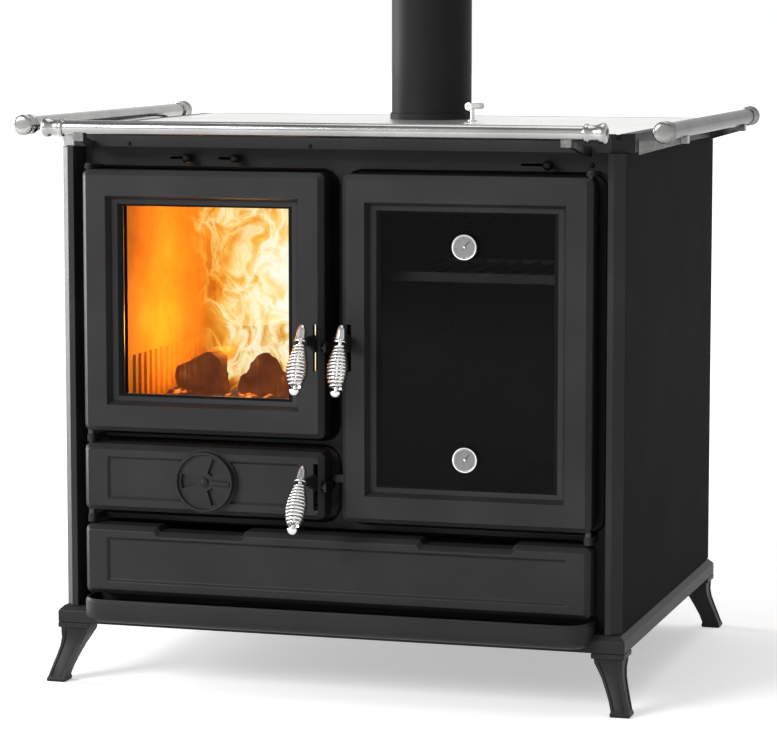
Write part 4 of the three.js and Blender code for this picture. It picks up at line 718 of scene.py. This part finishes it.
def tick_ring(node, centre, back):
    """Ticks from the lower right round the top to the lower left, every fifth one long."""
    ticks = bmesh.new()
    for degrees in range(-45, 226, TICK_STEP):
        inner = LONG_TICK if degrees % 90 == 45 else SHORT_TICK
        outline = bar(degrees, inner, TICKS_END, TICK_HALF, TICK_HALF)
        tick = flat_piece(f"{node}_tick", outline, centre, back, 0.0002, dark_print)
        ticks.from_mesh(tick.data)
        bpy.data.objects.remove(tick)
    mesh = bpy.data.meshes.new(f"{node}_ticks")
    ticks.to_mesh(mesh)
    ticks.free()
    mesh.materials.append(dark_print)
    ring = bpy.data.objects.new(f"{node}_ticks", mesh)
    bpy.context.collection.objects.link(ring)
    return ring


BEZEL_RADIUS = 0.0199
FACE_RADIUS = 0.0158
PIVOT_RADIUS = 0.0017
STEM_RADIUS = 0.003
POINTER_ANGLE = 52
TICK_STEP = 18
LONG_TICK = 0.0116
SHORT_TICK = 0.0126
TICKS_END = 0.0142
TICK_HALF = 0.0003

bezel_metal, spot = new_finish("bezel_chrome", (0.78, 0.77, 0.75), 1.0, 0.16)
spin = spot.noise(500, 2.0, 0.5)
feed(bezel_metal, "Base Color", spot.noise(90, 2.0).ramp((0.3, (0.7, 0.69, 0.67)),
                                                         (0.7, (0.84, 0.83, 0.81))))
feed(bezel_metal, "Roughness", 0.12 + spin * 0.1)
dial_face, spot = new_finish("dial_grey", (0.2, 0.2, 0.2), 0.3, 0.45)
speck = spot.noise(700, 3.0, 0.6)
feed(dial_face, "Base Color", speck.ramp((0.3, (0.17, 0.17, 0.168)), (0.7, (0.24, 0.24, 0.236))))
feed(dial_face, "Roughness", 0.38 + speck * 0.14)
dark_print, spot = new_finish("dial_print", (0.02, 0.02, 0.02), 0.0, 0.5)
feed(dark_print, "Roughness", 0.45 + spot.noise(800, 2.0) * 0.1)

for node in ("oven_thermometer_upper", "oven_thermometer_lower"):
    low, high = np.array(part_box(node))
    centre = (low + high) / 2 * (1, 0, 1)
    y = low[1]
    r = BEZEL_RADIUS
    bezel_profile = [(0, y + 0.0026), (r - 0.0038, y + 0.0024), (r - 0.0034, y + 0.0008),
                     (r - 0.0026, y + 0.0001), (r - 0.0012, y + 0.0002), (r - 0.0002, y + 0.0016),
                     (r, y + 0.003), (r, y + 0.0082), (r - 0.001, y + 0.0094), (r - 0.002, y + 0.0097),
                     (STEM_RADIUS, y + 0.0097), (STEM_RADIUS, high[1]), (0, high[1])]
    bezel = turn(f"{node}_bezel", bezel_profile, "y", centre)
    sharpen(bezel, 35)
    put_on(bezel, node, bezel_metal)

    pointer = bar(POINTER_ANGLE, -0.004, 0.0115, 0.0009, 0.0005)
    for piece in (flat_piece(f"{node}_face", disc(FACE_RADIUS), centre, y + 0.0024, 0.0004, dial_face),
                  tick_ring(node, centre, y + 0.0021),
                  flat_piece(f"{node}_pointer", pointer, centre, y + 0.0018, 0.0004, dark_print),
                  flat_piece(f"{node}_pivot", disc(PIVOT_RADIUS), centre, y + 0.0014, 0.0009,
                             bezel_metal)):
        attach(piece, bodies[node])


# ---- Firebox ----
# A ribbed cast liner with its grate, and the fire: logs on a bed of embers with tall flames.
# The fire isn't part of the stove's solids. Its embers and flames glow, and two lamps light the ribs.
LINER_FLANGE_BACK = FRONT + 0.0578
liner_iron, spot = new_finish("firebox_liner_iron", (0.4, 0.24, 0.07), 0.0, 0.8,
                              **{"Specular IOR Level": 0.05})
crust = spot.noise(90, 5.0, 0.65)
patch = spot.noise(7, 3.0, 0.5)
hot_side = crust * 0.3 + patch * 0.7
# The front flange, seen in the gap round the door, is painted black: painted shade that hides the fire
# lamps' light there.
flange_in_painted_shade = spot.part("Y").below(LINER_FLANGE_BACK)
warm = hot_side.ramp((0.35, (0.32, 0.15, 0.03)), (0.65, (0.44, 0.25, 0.07)))
black = crust.ramp((0.3, (0.002, 0.002, 0.002)), (0.7, (0.006, 0.005, 0.005)))
feed(liner_iron, "Base Color", flange_in_painted_shade.chosen(warm, black))
feed(liner_iron, "Roughness", 0.7 + crust * 0.2)
bump(liner_iron, crust, strength=0.12, distance=0.0008)
softened("firebox_liner", liner_iron, width=0.0008, parts=2)
softened("firebox_grate", soot, width=0.001, parts=2)

GRATE_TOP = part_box("firebox_grate")[1][2]
BED_X, BED_HALF_WIDTH = -0.200, 0.140
BED_Y, BED_HALF_DEPTH = FRONT + 0.245, 0.170
BED_BOTTOM = GRATE_TOP + 0.0030
BED_EDGE = 0.0002
BED_HEIGHT = 0.022
RIPPLE = 0.001

ember, spot = new_finish("embers", (0.03, 0.018, 0.012), 0.0, 0.9, **{"Emission Strength": 1.6})
cells = spot.add("ShaderNodeTexVoronoi", {"Vector": spot, "Scale": 60.0}, feature="F1")
heat = cells * 0.9 + spot.noise(40, 4.0, 0.6) * 0.6
feed(ember, "Emission Color", heat.ramp((0.3, (1.0, 0.42, 0.06)), (0.5, (0.7, 0.12, 0.01)),
                                        (0.75, (0.04, 0.01, 0.005))))
feed(ember, "Base Color", heat.ramp((0.3, (0.2, 0.08, 0.04)), (0.7, (0.03, 0.02, 0.018))))
bump(ember, heat, strength=0.6, distance=0.003)

# The bed is a closed mound of the height 22 mm (1 - |u|^4)(1 - |v|^4), with three crossing ripples.
u, v = np.meshgrid(np.linspace(-1, 1, 61), np.linspace(-1, 1, 81), indexing="ij")
ripples = (3.2 * np.sin(31 * u + 7 * v) + 2.6 * np.sin(23 * v - 11 * u + 1.0)
           + 1.6 * np.sin(57 * u * v + 3))
edge_fall = np.clip((1 - np.abs(u) ** 4) * (1 - np.abs(v) ** 4), 0, 1)
bed_z = BED_BOTTOM + BED_EDGE + edge_fall * (BED_HEIGHT + RIPPLE * ripples)
upper = np.stack([BED_X + BED_HALF_WIDTH * u, BED_Y + BED_HALF_DEPTH * v, bed_z], -1)
lower = upper.copy()
lower[..., 2] = BED_BOTTOM
bed = lay_mesh("ember_bed", upper, round_rows=False)
under = lay_mesh("ember_under", lower, round_rows=False)
shape = bmesh.new()
shape.from_mesh(bed.data)
shape.from_mesh(under.data)
bpy.data.objects.remove(under)
bmesh.ops.bridge_loops(shape, edges=[edge for edge in shape.edges if edge.is_boundary])
bmesh.ops.recalc_face_normals(shape, faces=shape.faces)
shape.to_mesh(bed.data)
shape.free()
bed.data.shade_smooth()
bed.data.materials.append(ember)
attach(bed, "stove")

bark, spot = new_finish("burning_wood", (0.1, 0.035, 0.014), 0.0, 0.9,
                        **{"Emission Strength": 0.5, "Specular IOR Level": 0.1})
fibre = spot.stretched(90, 90, 6).noise(2.2, 5.0, 0.65)
char = spot.noise(24, 4.0, 0.6)
feed(bark, "Base Color", char.ramp((0.35, (0.018, 0.009, 0.006)), (0.6, (0.09, 0.03, 0.011)),
                                   (0.8, (0.16, 0.06, 0.02))))
seam = char * 0.55 + fibre * 0.55
feed(bark, "Emission Color", seam.ramp((0.42, (0.17, 0.03, 0.005)), (0.62, (0.24, 0.05, 0.008)),
                                       (0.78, (0.8, 0.22, 0.025))))
bump(bark, fibre + char * 0.6, strength=0.5, distance=0.002)


def log_on_fire(name, foot, head, size, twist, seed):
    """A log between two ends: its radius is size (1 + .2 cos 3t + .08 cos 2t + small ripples).

    It narrows a little at both ends and is closed by flat ends. The points foot and head are
    (x, depth behind FRONT, height above the grate)."""
    foot = np.array(foot) + (0, FRONT, GRATE_TOP)
    head = np.array(head) + (0, FRONT, GRATE_TOP)
    s = np.concatenate([[0, 0], np.linspace(0, 1, 40), [1, 1]])[:, None]
    swell = np.concatenate([[0, 0.93], np.full(40, 1.0), [0.93, 0]])[:, None]
    t = np.linspace(0, 2 * np.pi, 48, endpoint=False)[None, :] + twist
    radius = 1 + 0.2 * np.cos(3 * t + seed) + 0.08 * np.cos(2 * t + 1.3 * seed)
    radius = radius + 0.035 * np.sin(9 * t + 5 * s + seed) + 0.02 * np.sin(17 * t - 9 * s + 2 * seed)
    radius = radius * size * swell * (1 + 0.05 * np.sin(4 * s + seed))
    axis = (head - foot) / np.linalg.norm(head - foot)
    beside = np.cross(axis, (0.3, 1, 0.1))
    beside /= np.linalg.norm(beside)
    third = np.cross(axis, beside)
    rows = (foot + s[..., None] * (head - foot) + (radius * np.cos(t))[..., None] * beside
            + (radius * np.sin(t))[..., None] * third)
    piece = lay_mesh(name, rows)
    piece.data.materials.append(bark)
    sharpen(piece, 55)
    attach(piece, "stove")


log_on_fire("log_left", (-0.247, 0.105, 0.041), (-0.262, 0.330, 0.046), size=0.036, twist=0.4, seed=1.0)
log_on_fire("log_right", (-0.149, 0.112, 0.039), (-0.136, 0.340, 0.044), size=0.036, twist=1.1, seed=2.2)
log_on_fire("log_back", (-0.285, 0.395, 0.034), (-0.105, 0.375, 0.040), size=0.030, twist=0.2, seed=3.1)
log_on_fire("log_across", (-0.225, 0.215, 0.092), (-0.105, 0.240, 0.097), size=0.019, twist=0.8, seed=4.4)

flame, spot = new_finish("flames", (0, 0, 0), 0.0, 1.0,
                         **{"Specular IOR Level": 0.0, "Emission Strength": 1.2})
# Wisps are ridges of a noise that is bent by another. The fire grows stronger and whiter towards its
# right and in a belt round its middle height, and its sheets fade out at their edges.
FIRE_LEFT, GROWS_TO_RIGHT = -0.270, 5.6
FIRE_MIDDLE, SHRINKS_OFF_MIDDLE = 0.60, 26
edge_fade = spot.add("ShaderNodeAttribute", {}, out=2, attribute_name="edge_fade")
warp = spot.add("ShaderNodeTexNoise", {"Vector": spot, "Scale": 9.0, "Detail": 2.0}, out=1)
bent = spot.add("ShaderNodeVectorMath", {0: warp, 1: (0.15, 0.15, 0.15), 2: spot},
                operation="MULTIPLY_ADD")
off_ridge = bent.stretched(1.0, 1.0, 0.6).noise(17, 5.0, 0.55, 0.8) - 0.5
ridge = 1 - off_ridge.math("ABSOLUTE", off_ridge) * 10
fine = bent.stretched(1.0, 1.0, 0.5).noise(44, 4.0, 0.6, 0.6)
veil = bent.stretched(1.0, 1.0, 0.6).noise(8, 3.0, 0.5, 0.4)
toward_right = ((spot.part("X") - FIRE_LEFT) * GROWS_TO_RIGHT).limited(-0.3, 1.0)
off_middle = spot.part("Z") - FIRE_MIDDLE
belt = 1 - off_middle * off_middle * SHRINKS_OFF_MIDDLE
fire = ridge * 0.26 + fine * 0.22 + veil * 1.2 + toward_right * (0.22 + belt * 0.46) - 0.62
strength = fire.limited(0.0, 1.0) * edge_fade
feed(flame, "Emission Color", strength.ramp((0.0, (0.80, 0.20, 0.008)), (0.28, (0.95, 0.35, 0.02)),
                                            (0.48, (1.0, 0.56, 0.10)), (0.66, (1.0, 0.82, 0.40)),
                                            (0.88, (1.0, 0.97, 0.82))))
feed(flame, "Alpha", strength.ramp((0.04, (0, 0, 0)), (0.4, (0.5, 0.5, 0.5)),
                                   (0.75, (0.95, 0.95, 0.95))))


FLAMES_RIGHT = -0.062


def flame_sheet(name, left, depth, bottom, top, sway, seed):
    """A sheet of flame at a depth behind FRONT: its x and y sway by sines of height and width.

    The attribute edge_fade falls from 1 to 0 towards its four edges, most slowly to the left."""
    u, v = np.meshgrid(np.linspace(0, 1, 60), np.linspace(0, 1, 70), indexing="ij")
    middle = (left + FLAMES_RIGHT) / 2 + 0.012 * np.sin(5 * v + seed)
    x = middle + (2 * u - 1) * (FLAMES_RIGHT - left) / 2
    y = FRONT + depth + sway * np.sin(4.2 * u + 2.6 * v + seed)
    y = y + 0.35 * sway * np.sin(9 * v - 6 * u + 2 * seed)
    piece = lay_mesh(name, np.stack([x, y, bottom + (top - bottom) * v], -1), round_rows=False)
    sides = np.minimum(u / 0.3, (1 - u) / 0.04)
    ends = np.minimum(v / 0.05, (1 - v) / 0.06)
    fade = np.clip(np.minimum(sides, ends), 0, 1)
    piece.data.attributes.new("edge_fade", "FLOAT", "POINT").data.foreach_set("value", fade.ravel())
    piece.data.materials.append(flame)
    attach(piece, "stove")


flame_sheet("flame_front", left=-0.320, depth=0.135, bottom=0.450, top=0.770, sway=0.014, seed=0.4)
flame_sheet("flame_middle", left=-0.310, depth=0.240, bottom=0.446, top=0.772, sway=0.020, seed=1.9)
flame_sheet("flame_back", left=-0.330, depth=0.385, bottom=0.446, top=0.772, sway=0.018, seed=3.3)

for name, place, power, size in (("fire_glow_low", (-0.225, FRONT + 0.20, 0.525), 7.5, 0.05),
                                 ("fire_glow_high", (-0.140, FRONT + 0.27, 0.660), 6.5, 0.06)):
    light = bpy.data.lights.new(name, "POINT")
    light.color = (1.0, 0.38, 0.04)
    light.energy = power
    light.shadow_soft_size = size
    holder = bpy.data.objects.new(name, light)
    holder.location = place
    bpy.context.collection.objects.link(holder)


# ---- Ash box, ash pan and drawer box ----
# Folded sheet steel, bare and dull, grey with old ash inside the pan.
sheet_steel, spot = new_finish("pan_sheet", (0.13, 0.13, 0.128), 0.8, 0.45)
rolled = spot.stretched(1, 30, 30).noise(9, 3.0, 0.55)
dust = spot.noise(33, 4.0, 0.6)
feed(sheet_steel, "Base Color", dust.ramp((0.3, (0.1, 0.1, 0.1)), (0.6, (0.15, 0.148, 0.145)),
                                          (0.8, (0.24, 0.235, 0.225))))
feed(sheet_steel, "Roughness", 0.36 + rolled * 0.14 + dust * 0.12)
bump(sheet_steel, rolled, strength=0.1, distance=0.0004)
for node in ("ash_pan", "drawer_box"):
    softened(node, sheet_steel, width=0.0004, parts=2)
softened("ash_box", soot, width=0.0006, parts=2)


# ---- Oven ----
# An enamelled sheet box, nearly black, with pressed runners, and a wire rack with a folded front
# bar that shows as a pale band behind the dark glass.
enamel, spot = new_finish("oven_enamel", (0.012, 0.012, 0.013), 0.0, 0.25,
                          **{"Specular IOR Level": 0.2})
fleck = spot.noise(850, 2.0, 0.6)
feed(enamel, "Base Color", fleck.ramp((0.55, (0.006, 0.006, 0.0065)), (0.7, (0.014, 0.014, 0.015)),
                                      (0.78, (0.08, 0.08, 0.083))))
feed(enamel, "Roughness", 0.34 + spot.noise(30, 3.0) * 0.16)
bump(enamel, spot.noise(180, 2.0), strength=0.06, distance=0.0004)
softened("oven_box", enamel, width=0.0006, parts=2)

rack_metal, spot = new_finish("rack_chrome", (0.55, 0.55, 0.54), 1.0, 0.3)
heat_tint = spot.noise(28, 3.0, 0.6)
feed(rack_metal, "Base Color", heat_tint.ramp((0.3, (0.42, 0.41, 0.38)), (0.7, (0.6, 0.59, 0.575))))
feed(rack_metal, "Roughness", 0.26 + spot.noise(600, 2.0) * 0.12)
softened("oven_rack", rack_metal, width=0.0009, parts=2)
